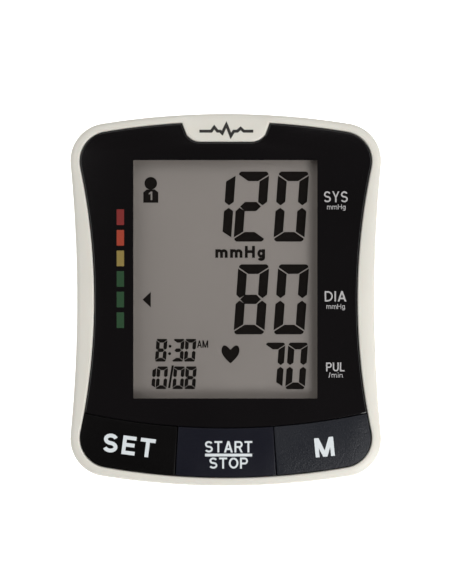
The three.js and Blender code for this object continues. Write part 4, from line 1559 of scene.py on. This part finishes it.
@dataclass
class KeyRow:
    """Three wide keys under an arched seam, split by two slanted seams.

    Args:
        seam_v: where the arched seam crosses the middle of the face.
        seam_radius: radius of that seam, centred above it.
        split_top: half distance between the slanted seams at the top.
        split_bottom: the same at the bottom.
        half_gap: half the width of a seam.
        edge: rounding of a key's upper edge.
    """

    seam_v: float = -43.3
    seam_radius: float = 228.0
    split_top: float = 16.2
    split_bottom: float = 17.15
    split_top_v: float = -43.5
    split_bottom_v: float = -59.5
    half_gap: float = 0.12
    edge: float = 0.35
    ink: Rgb = (196, 201, 203)
    bar: tuple[float, float, float, float] = (-7.0, 8.9, -52.87, -51.93)

    def beside_seam(self, loop: Points, side: int) -> list[Point]:
        """The part of a loop above the arched seam, for a side of 1, or below it, for -1."""
        radius = self.seam_radius - side * self.half_gap
        centre = (0.0, self.seam_v + self.seam_radius)

        def inside(point: Point) -> bool:
            """Tells whether a point is on the side that is kept."""
            return (side > 0 or point[1] < 0) and side * (radius - math.dist(point, centre)) > 0

        def along(a: Point, b: Point) -> list[Point]:
            """Points on the seam between a and b."""
            start, end = (math.atan2(p[1] - centre[1], p[0] - centre[0]) for p in (a, b))
            return arc(centre, radius, start, end, 40)[1:]

        return clipped(loop, inside, along)

    def split_u(self, v: float) -> float:
        """Half the distance between the slanted seams at v."""
        fall = (self.split_top_v - v) / (self.split_top_v - self.split_bottom_v)
        return self.split_top + (self.split_bottom - self.split_top) * fall

    def outline(self, index: int) -> list[Point]:
        """The outline of key 0, 1 or 2, from left to right."""
        loop = self.beside_seam(PANEL.set_in(GAP).ring(), -1)
        if index == 0:
            return clipped(loop, lambda p: p[0] < -self.split_u(p[1]) - self.half_gap)
        if index == 2:
            return clipped(loop, lambda p: p[0] > self.split_u(p[1]) + self.half_gap)
        loop = clipped(loop, lambda p: p[0] > -self.split_u(p[1]) + self.half_gap)
        return clipped(loop, lambda p: p[0] < self.split_u(p[1]) - self.half_gap)

    def snap(self, key: Key) -> list[Skin]:
        """The key's stem and its two snap hooks."""
        parts = [rod("z", PLATE_BOTTOM, KEY_BOTTOM + 0.5, *key.stem, 2.4)]
        for u, v in key.hooks:
            for x, top in ((u, KEY_BOTTOM + 0.5), (u + math.copysign(0.9, u), PLATE_BOTTOM - 0.4)):
                parts.append(Skin().box((x - 0.6, v - 1.5, PLATE_BOTTOM - 1.2),
                                        (x + 0.6, v + 1.5, top)))
        return parts

    def build(self) -> None:
        """Makes the three keys with their print."""
        ink = Finish("key ink", self.ink, 0.55, depth=0.05, tone=0.02).build()
        for index, key in enumerate(KEYS):
            body = key.name + "_key"
            cap = Skin().slab(self.outline(index), KEY_BOTTOM, KEY_TOP, self.edge)
            mesh = carve(cap, self.snap(key), (), ON_FACE, 40)
            finish_piece(key.name + "_cap", mesh, key.slot, [key.name + "_button"], body)
            level = (KEY_TOP - 0.03, KEY_TOP + 0.03)
            words = Skin().add(*(label.skin(*level) for label in key.labels))
            if key.name == "start_stop":
                left, right, low, high = self.bar
                words.slab([(left, low), (right, low), (right, high), (left, high)], *level)
            finish_piece(key.name + "_print", words, Slot.WHITE, (), body, ink)


# --- display
@dataclass(frozen=True)
class Digit:
    """One leaning seven-segment digit, in face millimetres.

    Args:
        value: 0 to 9.
        left: where its box starts.
        bottom: its lowest level on the face.
        width: width of its upright box.
        height: its height.
        stroke: width of its strokes.
    """

    value: int
    left: float
    bottom: float
    width: float
    height: float
    stroke: float

    LIT = {0: "abcdef", 1: "bc", 2: "abdeg", 3: "abcdg", 4: "bcfg", 5: "acdfg", 6: "acdefg",
           7: "abc", 8: "abcdefg", 9: "abcdfg"}
    LEAN = 0.072

    def segment(self, letter: str) -> list[Point]:
        """The outline of one segment in the digit's upright box."""
        s, w, h = self.stroke, self.width, self.height
        k = s / 3.05
        middle = h / 2
        shift = 0.3 * k if "g" in self.LIT[self.value] else 0.0
        peak = w - s / 2 + (shift if letter in "ef" else 0.0)
        bar = [(s + 0.45 * k, h - 3.2 * k), (w - s - 0.45 * k, h - 3.2 * k),
               (w - 0.2 * k, h - k), (w - 0.35 * k, h - 0.45 * k), (w - k, h), (k, h),
               (0.35 * k, h - 0.45 * k), (0.2 * k, h - k)]
        post = [(w, h - 1.4 * k), (w - s, h - 3.3 * k), (w - s, middle + 1.55 * k),
                (peak, middle + 0.4 * k), (w, middle + 1.55 * k)]
        tip, half = s / 2 + 0.45 * k, 1.55 * k
        left = tip - 2 * shift
        cross = [(left, middle), (left + half, middle - half), (w - tip - half, middle - half),
                 (w - tip, middle), (w - tip - half, middle + half), (left + half, middle + half)]
        flip_u = letter in "ef"
        flip_v = letter in "cde"
        shape = {"a": bar, "d": bar, "g": cross}.get(letter, post)
        return [(w - u if flip_u else u, h - v if flip_v else v) for u, v in shape]

    def outlines(self) -> list[list[Point]]:
        """The lit segments on the face, anticlockwise."""
        made = []
        for letter in self.LIT[self.value]:
            loop = [(self.left + u + self.LEAN * v, self.bottom + v)
                    for u, v in self.segment(letter)]
            area = sum(a[0] * b[1] - b[0] * a[1] for a, b in zip(loop, loop[1:] + loop[:1]))
            made.append(loop if area > 0 else loop[::-1])
        return made


BIG = (10.5, 23.8, 3.1)
MEDIUM = (6.7, 15.85, 2.2)
SMALL = (3.75, 7.7, 1.22)
DIGITS = (
    Digit(1, -8.75, 19.8, *BIG), Digit(2, 2.6, 19.8, *BIG), Digit(0, 16.15, 19.8, *BIG),
    Digit(8, 2.6, -11.75, *BIG), Digit(0, 16.15, -11.75, *BIG),
    Digit(7, 12.45, -30.4, *MEDIUM), Digit(0, 20.15, -30.4, *MEDIUM),
    Digit(8, -24.1, -21.0, *SMALL), Digit(3, -18.3, -21.0, *SMALL),
    Digit(0, -14.25, -21.0, *SMALL),
    Digit(1, -27.9, -30.35, *SMALL), Digit(0, -23.9, -30.35, *SMALL),
    Digit(0, -18.2, -30.35, *SMALL), Digit(8, -14.15, -30.35, *SMALL),
)


@dataclass
class Display:
    """The lens with its black print, the grey cell, and what the cell and the panel show."""

    keys: KeyRow
    lens_edge: float = 0.3
    cell_border: float = 2.0
    cell_ledge: float = 5.0
    joint_level: float = -6.15
    segment_colour: Rgb = (11, 7, 4)
    print_colour: Rgb = (158, 156, 156)
    ink_level: Point = (LENS_TOP - 0.02, LENS_TOP + 0.02)
    gauge_u: float = -35.6
    gauge_size: Point = (2.5, 5.3)
    gauge_top_v: float = 27.9
    gauge_pitch: float = 6.95

    def lens(self) -> None:
        """The glossy plate over the whole panel, clear at the window."""
        loop = self.keys.beside_seam(PANEL.set_in(GAP).ring(GAP), 1)
        skin = Skin().slab(loop, LENS_BOTTOM, LENS_TOP, self.lens_edge)
        finish_piece("window_lens", skin, Slot.WINDOW,
                     ["display_lens"])

    def cell(self) -> None:
        """The glass cell: a front sheet, and a back sheet that reaches to the contacts."""
        left, right, bottom, top = DISPLAY_WINDOW
        border = self.cell_border
        low = (left - border, bottom - self.cell_ledge)
        high = (right + border, top + border)
        back = rounded_rectangle(low, high, 0.4)
        front = rounded_rectangle((low[0], bottom - border), high, 0.4)
        skin = Skin().slab(back, GLASS_BOTTOM, self.joint_level + 0.02, 0.1)
        sheet = Skin().slab(front, self.joint_level, GLASS_TOP, 0.15)
        mesh = carve(skin, [sheet], (), ON_FACE)
        finish_piece("display_cell", mesh, Slot.DISPLAY, ["lcd_glass"])

    def heart(self) -> list[Point]:
        """The pulse heart's outline, anticlockwise."""
        ring = []
        for t in spread(0, math.tau, 40):
            u = 16 * math.copysign(abs(math.sin(t)) ** 1.75, math.sin(t))
            v = 13 * math.cos(t) - 5 * math.cos(2 * t) - 2 * math.cos(3 * t) - math.cos(4 * t)
            ring.append((1.6 + u * 3.05 / 16, -18.0 + v * 6.1 / 29))
        return ring[::-1]

    def shown(self) -> Skin:
        """Everything the cell shows, as thin raised shapes."""
        level = (GLASS_TOP - 0.02, GLASS_TOP + 0.05)
        skin = Skin()
        for digit in DIGITS:
            for loop in digit.outlines():
                skin.slab(loop, *level)
        for centre in ((-18.95, -15.8), (-19.1, -18.3)):
            skin.slab(circle(centre, 0.5, 20), *level)
        skin.slab([(-19.65, -30.0), (-18.9, -30.0), (-17.65, -22.3), (-18.4, -22.3)], *level)
        skin.slab(self.heart(), *level)
        skin.slab([(-28.3, 0.05), (-25.5, -2.6), (-25.5, 2.7)], *level)
        skin.slab(circle((-25.5, 39.6), 2.15, 36), *level)
        skin.slab([(-28.05, 33.0), (-22.95, 33.0), (-22.95, 36.55), (-24.15, 37.5),
                   (-26.85, 37.5), (-28.05, 36.55)], *level)
        return skin.add(Word("mmHg", (4.9, 16.3), 17.0, 4.05, 0.98).skin(*level),
                        Word("AM", (-7.9, -15.05), 3.75, 2.5, 0.42, space=0.12).skin(*level))

    def segments(self) -> None:
        """The dark segments and marks on the cell."""
        dark = Finish("segment", self.segment_colour, 0.4, depth=0.01, tone=0.02, specular=0.15)
        finish_piece("display_segments", self.shown(), Slot.PRINT, material=dark.build())
        level = (GLASS_TOP, GLASS_TOP + 0.08)
        one = Skin().slab([(-25.55, 33.9), (-25.0, 33.9), (-25.0, 36.8), (-25.5, 36.8),
                           (-26.2, 36.2), (-26.2, 35.75), (-25.55, 36.1)], *level)
        finish_piece("user_digit", one, Slot.DISPLAY)

    def words(self) -> None:
        """The grey words beside the window."""
        labels = (
            Word("SYS", (37.15, 34.8), 8.0, 3.7, 0.5), Word("mmHg", (37.3, 31.4), 6.25, 1.7, 0.2),
            Word("DIA", (37.05, 1.2), 7.3, 3.5, 0.5), Word("mmHg", (37.1, -2.2), 6.2, 1.7, 0.2),
            Word("PUL", (37.0, -22.65), 6.2, 3.0, 0.46), Word("/min", (37.1, -25.4), 4.8, 1.7, 0.2),
        )
        grey = Finish("panel ink", self.print_colour, 0.5, depth=0.02, tone=0.02).build()
        skin = Skin().add(*(label.skin(*self.ink_level) for label in labels))
        finish_piece("panel_print", skin, Slot.PRINT, material=grey)

    def gauge(self) -> None:
        """The coloured blocks of the pressure class gauge, from high to normal."""
        colours = {"red": ((109, 14, 10), (0,)), "orange": ((142, 45, 20), (1,)),
                   "amber": ((123, 106, 50), (2,)), "green": ((7, 52, 19), (3, 4, 5))}
        half_u, half_v = self.gauge_size[0] / 2, self.gauge_size[1] / 2
        for name, (colour, rows) in colours.items():
            skin = Skin()
            for row in rows:
                v = self.gauge_top_v - row * self.gauge_pitch
                block = rounded_rectangle((self.gauge_u - half_u, v - half_v),
                                          (self.gauge_u + half_u, v + half_v), 0.15)
                skin.slab(block, *self.ink_level)
            ink = Finish(f"{name} gauge ink", colour, 0.45, depth=0.02, tone=0.06).build()
            finish_piece("gauge_" + name, skin, Slot.PRINT, material=ink)

    def build(self) -> None:
        """Makes the lens, the cell and all the print."""
        self.lens()
        self.cell()
        self.segments()
        self.words()
        self.gauge()


# --- bottom case
FOOT_HEIGHT = 2.0
FLOOR_TOP = 4.0
TONGUES_X = (0.0, 19.0)


@dataclass(frozen=True)
class Bay:
    """The battery bay in the table frame, in millimetres."""

    x0: float = -19.0
    x1: float = 38.0
    y0: float = -2.0
    y1: float = 57.6
    top: float = 18.7
    wall: float = 1.3
    first_cell_y: float = 5.45
    cell_pitch: float = 14.85
    cell_z: float = 11.2


BAY = Bay()


@dataclass
class BottomCase:
    """The ivory lower shell with its battery bay, screw bosses, foot pockets and side sockets.

    Args:
        edge: rounding of the underside's edge.
        parting: chamfer at the parting line.
        boss_radius: radius of the screw bosses.
        head_radius: radius of the screw head pockets.
        seat: thickness of boss that a screw clamps.
    """

    edge: float = 1.5
    parting: float = 0.3
    boss_radius: float = 4.2
    head_radius: float = 2.8
    seat: float = 4.0
    pump: Point = (-33.6, 17.0)

    def base_ring(self, inset: float, z: float) -> list[Vector]:
        """A level ring of the underside's outline."""
        return [Vector((x, y + BASE_CENTRE_Y, z)) for x, y in BASE.set_in(inset).ring()]

    def raised_ring(self, inset: float, level: float) -> list[Vector]:
        """A ring of the face's outline at a face level, in the table frame."""
        back = TABLE_TO_FACE.inverted()
        return [back @ Vector((u, v, level)) for u, v in OUTER.set_in(inset).ring()]

    def shell(self) -> Skin:
        """The open shell with its tongue."""
        skin = Skin()
        rings = []
        for i in range(6):
            angle = math.pi / 2 * i / 5
            inset = self.edge * (1 - math.sin(angle))
            z = FOOT_HEIGHT + self.edge * (1 - math.cos(angle))
            rings.append(skin.ring(self.base_ring(inset, z)))
        low = self.base_ring(0, FOOT_HEIGHT + self.edge)
        high = self.raised_ring(0, CASE_TOP - self.parting)
        for t in (0.33, 0.66, 1.0):
            rings.append(skin.ring(a.lerp(b, t) for a, b in zip(low, high)))
        lip = WALL + GAP
        inner = WALL + 1.5
        for inset, level in ((self.parting, CASE_TOP), (lip, CASE_TOP), (lip, LIP_TOP),
                             (inner, LIP_TOP), (inner, CASE_TOP - 2)):
            rings.append(skin.ring(self.raised_ring(inset, level)))
        rings.append(skin.ring(self.base_ring(2.4, FLOOR_TOP)))
        skin.tower(rings)
        return skin

    def saddle(self) -> Skin:
        """The curved stand under the pump motor."""
        x, z = self.pump
        hollow = arc((x, z), 13.0, math.radians(-22), math.radians(-158), 20)
        loop = [(-46.5, 3.9), (-20.6, 3.9), (-20.6, 12.0), *hollow[1:], (-46.5, 12.0)]
        turn = Matrix.Rotation(math.pi / 2, 4, "X")
        return Skin().slab(loop, -41.0, -36.0).moved(turn)

    def fittings(self) -> list[Skin]:
        """What stands on the floor inside."""
        floor = FLOOR_TOP - 0.1
        made = [Skin().box((BAY.x0 - BAY.wall, BAY.y0 - BAY.wall, floor),
                           (BAY.x1 + BAY.wall, BAY.y1 + BAY.wall, BAY.top + 1.5)),
                Skin().box((-34, -37, floor), (-22, -26, 7.4)), self.saddle()]
        for x, y in CASE_SCREWS.points():
            top = FACE.level_height(SPLIT_LEVEL, y)
            made.append(rod("z", floor, top, x, y, self.boss_radius, 36))
        return made

    def holes(self) -> list[Skin]:
        """The bay's cavity, pockets, slots and socket holes."""
        below = FOOT_HEIGHT - 1
        corners = rounded_rectangle((BAY.x0, BAY.y0), (BAY.x1, BAY.y1), 0.8, 4)
        made = [Skin().slab(corners, below, BAY.top)]
        for x, y in CASE_SCREWS.points():
            top = FACE.level_height(SPLIT_LEVEL, y)
            made.append(rod("z", below, top - self.seat, x, y, self.head_radius, 36))
            made.append(rod("z", below, top + 1, x, y, 1.6, 24))
        for x, y in FEET.points():
            made.append(rod("z", below, FOOT_HEIGHT + 1, x, y, 4 + GAP, 40))
        for x in TONGUES_X:
            made.append(Skin().box((x - 4.4, BAY.y1 - 0.5, FLOOR_TOP),
                                   (x + 4.4, BAY.y1 + BAY.wall + 0.1, 6.3)))
        made.append(rod("x", -56, -44, *AIR_AXIS, 4.3 + GAP, 40))
        made.append(rod("x", 44, 56, *JACK_AXIS, 3.4 + GAP, 40))
        return made

    def build(self) -> None:
        """Makes the case."""
        mesh = carve(self.shell(), self.fittings(), self.holes())
        finish_piece("case_shell", mesh, Slot.IVORY, ["bottom_case"])


@dataclass
class BatteryDoor:
    """The door under the cells: a leaf with two tongues and a ribbed finger dip.

    Args:
        margin: gap between the leaf and the bay's walls.
        bottom: height of the leaf's outside over the table.
        top: height of its inside.
        corner: radius of its corners.
        edge: rounding of its outside edge.
        dip: lower left and upper right corner of the finger dip.
        dip_depth: depth of the dip.
        ribs: number of ribs in the dip.
    """

    ribs_grower: Grower
    margin: float = 0.4
    bottom: float = 2.2
    top: float = 3.6
    corner: float = 0.9
    edge: float = 0.3
    dip: tuple[Point, Point] = ((3.0, 0.5), (16.0, 6.5))
    dip_depth: float = 0.6
    ribs: int = 4

    def leaf(self) -> Skin:
        """The leaf, with its rounded edge on the outside."""
        low = (BAY.x0 + self.margin, -(BAY.y1 - self.margin))
        high = (BAY.x1 - self.margin, -(BAY.y0 + self.margin))
        loop = rounded_rectangle(low, high, self.corner)
        return Skin().slab(loop, -self.top, -self.bottom, self.edge).moved(
            Matrix.Rotation(math.pi, 4, "X"))

    def build(self) -> None:
        """Makes the door and its ribs."""
        tongues = []
        for x in TONGUES_X:
            back = BAY.y1 - self.margin
            tongues.append(Skin().box((x - 4, 55.4, self.top - 0.2), (x + 4, back, 5.0)))
            tongues.append(Skin().box((x - 4, 55.4, FLOOR_TOP + GAP), (x + 4, 59.4, 5.0)))
        stiffeners = [Skin().box((x - 0.6, 4.0, self.top - 0.2), (x + 0.6, 53.0, 3.75))
                      for x in (-9.5, 28.5)]
        dip = rounded_rectangle(*self.dip, 1.5, 8)
        pocket = Skin().slab(dip, self.bottom - 1, self.bottom + self.dip_depth)
        mesh = carve(self.leaf(), tongues + stiffeners, [pocket])
        finish_piece("door_leaf", mesh, Slot.IVORY, ["battery_door"], "door")
        middle = [(a + b) / 2 for a, b in zip(*self.dip)]
        place = ON_TABLE @ Matrix.Translation((*middle, self.bottom + self.dip_depth))
        self.ribs_grower.grow(
            "door_ribs", Slot.IVORY, place @ Matrix.Rotation(math.pi / 2, 4, "Z"),
            {"Count": self.ribs, "Pitch": 1.3, "Length": 10.5, "Radius": 0.42, "Flatness": 0.9},
            body="door",
        )


# --- fixings and feet
def rounded_profile(points: Points, radius: float, steps: int = 4) -> list[Point]:
    """A turned profile of (radius, height) pairs, with its inner corners cut round."""
    made = [points[0]]
    for before, here, after in zip(points, points[1:], points[2:]):
        near = between(here, before, radius / math.dist(before, here))
        far = between(here, after, radius / math.dist(after, here))
        made += [*bend(near, here, far, steps), far]
    return made + [points[-1]]


@dataclass
class Fixings:
    """Feet, case screws and board screws, each set grown from one master."""

    corners: Grower

    def screw(self, head: Point, shank: Point, pitch: float) -> Mesh:
        """A screw with its head down at z = 0.

        Args:
            head: radius and height of the head.
            shank: radius and length of the shank.
            pitch: distance between the thread's ridges.

        Returns:
            The screw's mesh, in millimetres.
        """
        profile = [(0.02, 0), (head[0] * 0.75, 0), (head[0], head[1] * 0.45),
                   (head[0], head[1]), (shank[0], head[1])]
        profile = rounded_profile(profile, min(head[1] * 0.25, 0.3), 3)
        height = head[1] + 0.4
        while height < head[1] + shank[1] - pitch:
            profile += [(shank[0] * 0.8, height), (shank[0], height + pitch * 0.5)]
            height += pitch
        profile += [(shank[0] * 0.75, head[1] + shank[1]), (0.02, head[1] + shank[1] + 0.7)]
        body = Skin().turned(profile, Matrix.Identity(4), 28)
        arm, half, depth = head[0] * 0.62, head[0] * 0.13, head[1] * 0.55
        cross = [Skin().box((-arm, -half, -0.5), (arm, half, depth)),
                 Skin().box((-half, -arm, -0.5), (half, arm, depth))]
        return carve(body, (), cross, Matrix.Identity(4))

    def foot(self) -> Mesh:
        """A rubber foot with a round shoulder and a shallow dish, in millimetres."""
        profile = rounded_profile([(0.02, 0.25), (2.2, 0.25), (2.8, 0.0), (3.6, 0.0), (4.0, 0.6),
                                   (4.0, 2.7), (0.02, 2.7)], 0.3)
        return Skin().turned(profile, Matrix.Identity(4), 48).mesh("foot", Matrix.Identity(4))

    def build(self) -> None:
        """Grows the three sets."""
        corner_names = ("front_left", "front_right", "rear_left", "rear_right")
        self.corners.grow("rubber_feet", Slot.RUBBER, ON_TABLE, FEET.sizes(),
                          ["foot_" + name for name in corner_names], self.foot())
        head = (2.5, 1.8)
        base = FACE.level_height(SPLIT_LEVEL, 0.0) - BottomCase.seat - head[1] - GAP
        self.corners.grow("case_screws", Slot.STEEL, ON_TABLE,
                          CASE_SCREWS.sizes(base, math.tan(FACE.tilt)),
                          ["case_screw_" + name for name in corner_names],
                          self.screw(head, (1.3, 10.8), 0.9))
        self.corners.grow("board_screws", Slot.STEEL, ON_FACE, BOARD_SCREWS.sizes(-12.3),
                          [f"board_screw_{i}" for i in range(1, 5)],
                          self.screw((2.0, 1.4), (0.95, 5.2), 0.7))


# --- cells and contacts
@dataclass
class Cells:
    """Four AA cells, pointing right and left in turn, and their contact coils."""

    coils: Grower
    length: float = 50.0
    wire: float = 0.36

    def cell(self, index: int) -> None:
        """Makes one cell from its place in the model."""
        node = f"battery_{index + 1}"
        low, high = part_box(node)
        right = index % 2 == 0
        shoulder = self.length - 1.1
        profile = rounded_profile([
            (0.05, 0.35), (5.9, 0.35), (6.1, 0.0), (6.7, 0.0), (7.1, 0.5), (7.1, 1.4),
            (6.98, 1.6), (7.1, 1.8), (7.1, shoulder - 1.9), (6.98, shoulder - 1.7),
            (7.1, shoulder - 1.5), (7.1, shoulder - 0.7), (6.4, shoulder), (2.9, shoulder),
            (2.75, self.length), (0.05, self.length),
        ], 0.08, 3)
        y = BAY.first_cell_y + index * BAY.cell_pitch
        start = (low.x if right else high.x) / MM
        place = axis_place("x" if right else "-x", (start, y, BAY.cell_z))
        skin = Skin().turned(profile, place, 56)
        flat_end, button_end = 0.0019, 0.0029
        left_end, right_end = (flat_end, button_end) if right else (button_end, flat_end)
        band = high.x - 0.012 if right else low.x + 0.012
        base = Slot.CELL.finish
        jacket = CellFinish(f"cell jacket {index + 1}", base.colour, base.roughness,
                            coat=base.coat, start_x=low.x + left_end,
                            end_x=high.x - right_end, band_x=band)
        finish_piece(f"cell_{index + 1}", skin.mesh(node, ON_TABLE), Slot.CELL, [node],
                     material=jacket.build())

    def build(self) -> None:
        """Makes the cells and the coils behind their flat ends."""
        for index in range(4):
            self.cell(index)
        left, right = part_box("contact_spring_1"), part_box("contact_spring_2")
        self.coils.grow("contact_coils", Slot.NICKEL, ON_TABLE, {
            "Radius": 3.3, "Tip Radius": 2.5, "Turns": 3.25, "Wire": self.wire,
            "Length": (left[1].x - left[0].x) / MM - 2 * self.wire,
            "Left X": left[0].x / MM + self.wire, "Right X": right[1].x / MM - self.wire,
            "First Y": BAY.first_cell_y, "Pitch": BAY.cell_pitch, "Z": BAY.cell_z,
        }, [f"contact_spring_{i}" for i in range(1, 5)])


# --- sockets
class Sockets:
    """The cuff air socket on the left side and the supply socket on the right."""

    def air_socket(self) -> None:
        """The air socket: a round nose, a flange behind the wall and a barb for the manifold."""
        base = rod("x", -50.3, -44, *AIR_AXIS, 4.3, 56, 0.4)
        joined = [rod("x", -46.2, -44.8, *AIR_AXIS, 6.0, 56, 0.2),
                  rod("x", -45, -40, *AIR_AXIS, 3.4, 40),
                  rod("x", -41, -36, *AIR_AXIS, 1.6, 28, 0.3)]
        mouth = Skin().turned([(3.2, -0.3), (2.4, 0.6), (2.4, 9.3)],
                              axis_place("x", (-50.3, *AIR_AXIS)), 40)
        mesh = carve(base, joined, [mouth, rod("x", -45, -35, *AIR_AXIS, 0.8, 20)])
        # The air socket wears the start/stop key's copy, blue from its painted reflection.
        finish_piece("air_inlet", mesh, Slot.KEY_NAVY, ["air_socket"])

    def supply_socket(self) -> None:
        """The supply socket: a block, a round nose with a coned mouth, and a centre pin."""
        y, z = JACK_AXIS
        block = Skin().slab(rounded_rectangle((36.5, y - 5), (46.2, y + 5), 0.5), z - 5.5, z + 5,
                            0.3)
        nose = rod("x", 46, 49.3, y, z, 3.4, 48, 0.2)
        mouth = Skin().turned([(2.8, 0), (2.8, 8.9), (3.15, 9.6)],
                              axis_place("x", (40, y, z)), 40)
        mesh = carve(block, [nose], [mouth])
        finish_piece("supply_body", mesh, Slot.CHIP, ["dc_jack"])
        pin = rod("x", 39.5, 48.3, y, z, 1.0, 28, 0.3)
        finish_piece("supply_pin", pin.mesh("supply_pin", ON_TABLE), Slot.NICKEL)

    def build(self) -> None:
        """Makes both sockets."""
        self.air_socket()
        self.supply_socket()


# --- studio
@dataclass(frozen=True)
class Softbox:
    """A soft area light that faces the middle of the face.

    Args:
        name: the light's name.
        towards: direction from the face to the light, in the face frame.
        distance: how far away it stands, in metres.
        size: its width, in metres.
        power: its power in watts.
    """

    name: str
    towards: tuple[float, float, float]
    distance: float
    size: float
    power: float

    def build(self) -> None:
        """Adds the light."""
        lamp = bpy.data.lights.new(self.name, "AREA")
        lamp.shape = "DISK"
        lamp.size = self.size
        lamp.energy = self.power
        u, v, w = self.towards
        away = (Vector((1, 0, 0)) * u + FACE.up * v + FACE.normal * w).normalized()
        made = new_object(self.name, lamp)
        made.location = FACE.centre + away * self.distance
        made.rotation_mode = "QUATERNION"
        made.rotation_quaternion = away.to_track_quat("Z", "Y")


@dataclass
class Studio:
    """Camera, soft lights and a pale floor.

    Args:
        lens: focal length in millimetres on a 36 mm sensor.
        distance: from the camera to the face along its normal, in metres.
        aim: the point of the face in the middle of the view, in millimetres.
        world: brightness of the surroundings.
        floor_glow: light that the floor gives by itself.
    """

    lens: float = 120.0
    distance: float = 0.6567
    aim: Point = (0.07, 2.65)
    world: float = 0.05
    floor_glow: float = 0.75
    floor_size: float = 3.0
    boxes: tuple[Softbox, ...] = (
        Softbox("key", (0.68, -0.72, 1.0), 0.7, 0.34, 3.5),
        Softbox("fill_left", (-1.1, 0.3, 1.0), 0.9, 0.9, 4.2),
        Softbox("fill_back", (0.2, 1.1, 1.0), 0.9, 0.9, 3.0),
        Softbox("fill_right", (1.3, 0.3, 1.0), 0.9, 0.8, 3.2),
    )

    def camera(self) -> None:
        """Makes the camera, square on to the face."""
        data = bpy.data.cameras.new("camera")
        data.lens = self.lens
        data.sensor_width = 36.0
        data.clip_start = 0.05
        data.clip_end = 20.0
        made = new_object("camera", data)
        axes = Matrix((Vector((1, 0, 0)), FACE.up, FACE.normal)).transposed()
        aim = ON_FACE @ Vector((*self.aim, 0))
        made.rotation_mode = "QUATERNION"
        made.rotation_quaternion = axes.to_quaternion()
        made.location = aim + FACE.normal * self.distance
        bpy.context.scene.camera = made

    def floor(self) -> None:
        """Lays the pale floor under the feet."""
        mesh = bpy.data.meshes.new("floor")
        half = self.floor_size / 2
        corners = [(-half, -half, 0), (half, -half, 0), (half, half, 0), (-half, half, 0)]
        mesh.from_pydata(corners, [], [(0, 1, 2, 3)])
        material = Finish("floor", (250, 250, 250), 0.8, depth=0.0, tone=0.002).build()
        shader = material.node_tree.nodes["Principled BSDF"]
        shader.inputs["Emission Color"].default_value = (1, 1, 1, 1)
        shader.inputs["Emission Strength"].default_value = self.floor_glow
        new_object("floor", mesh, material)

    def light(self) -> None:
        """Sets the surroundings and the softboxes."""
        world = bpy.data.worlds.new("studio")
        world.use_nodes = True
        background = world.node_tree.nodes["Background"].inputs
        background["Color"].default_value = (1, 1, 1, 1)
        background["Strength"].default_value = self.world
        scene = bpy.context.scene
        scene.world = world
        scene.view_settings.view_transform = "Standard"
        for box in self.boxes:
            box.build()

    def build(self) -> None:
        """Makes the camera first, then the lights and the floor."""
        self.camera()
        self.light()
        self.floor()


# --- everything
def dress_carried_nodes() -> None:
    """Gives every CAD node that is still shown the material of its slot."""
    for part in frame["record"]["subparts"]:
        node = frame["nodes"][part["node"]]
        if node.hide_render:
            continue
        node.data.materials.clear()
        node.data.materials.append(material_of(slot_named(part["material_slot"])))


def main() -> None:
    """Builds the sub-assemblies in order."""
    logging.basicConfig(level=logging.INFO, format="%(message)s")
    Studio().build()
    keys = KeyRow()
    CoverShell().build()
    Display(keys).build()
    keys.build()
    BottomCase().build()
    BatteryDoor(rib_grower()).build()
    Fixings(corner_grower()).build()
    Cells(coil_grower()).build()
    Sockets().build()
    dress_carried_nodes()


if __name__ == "__main__":
    main()
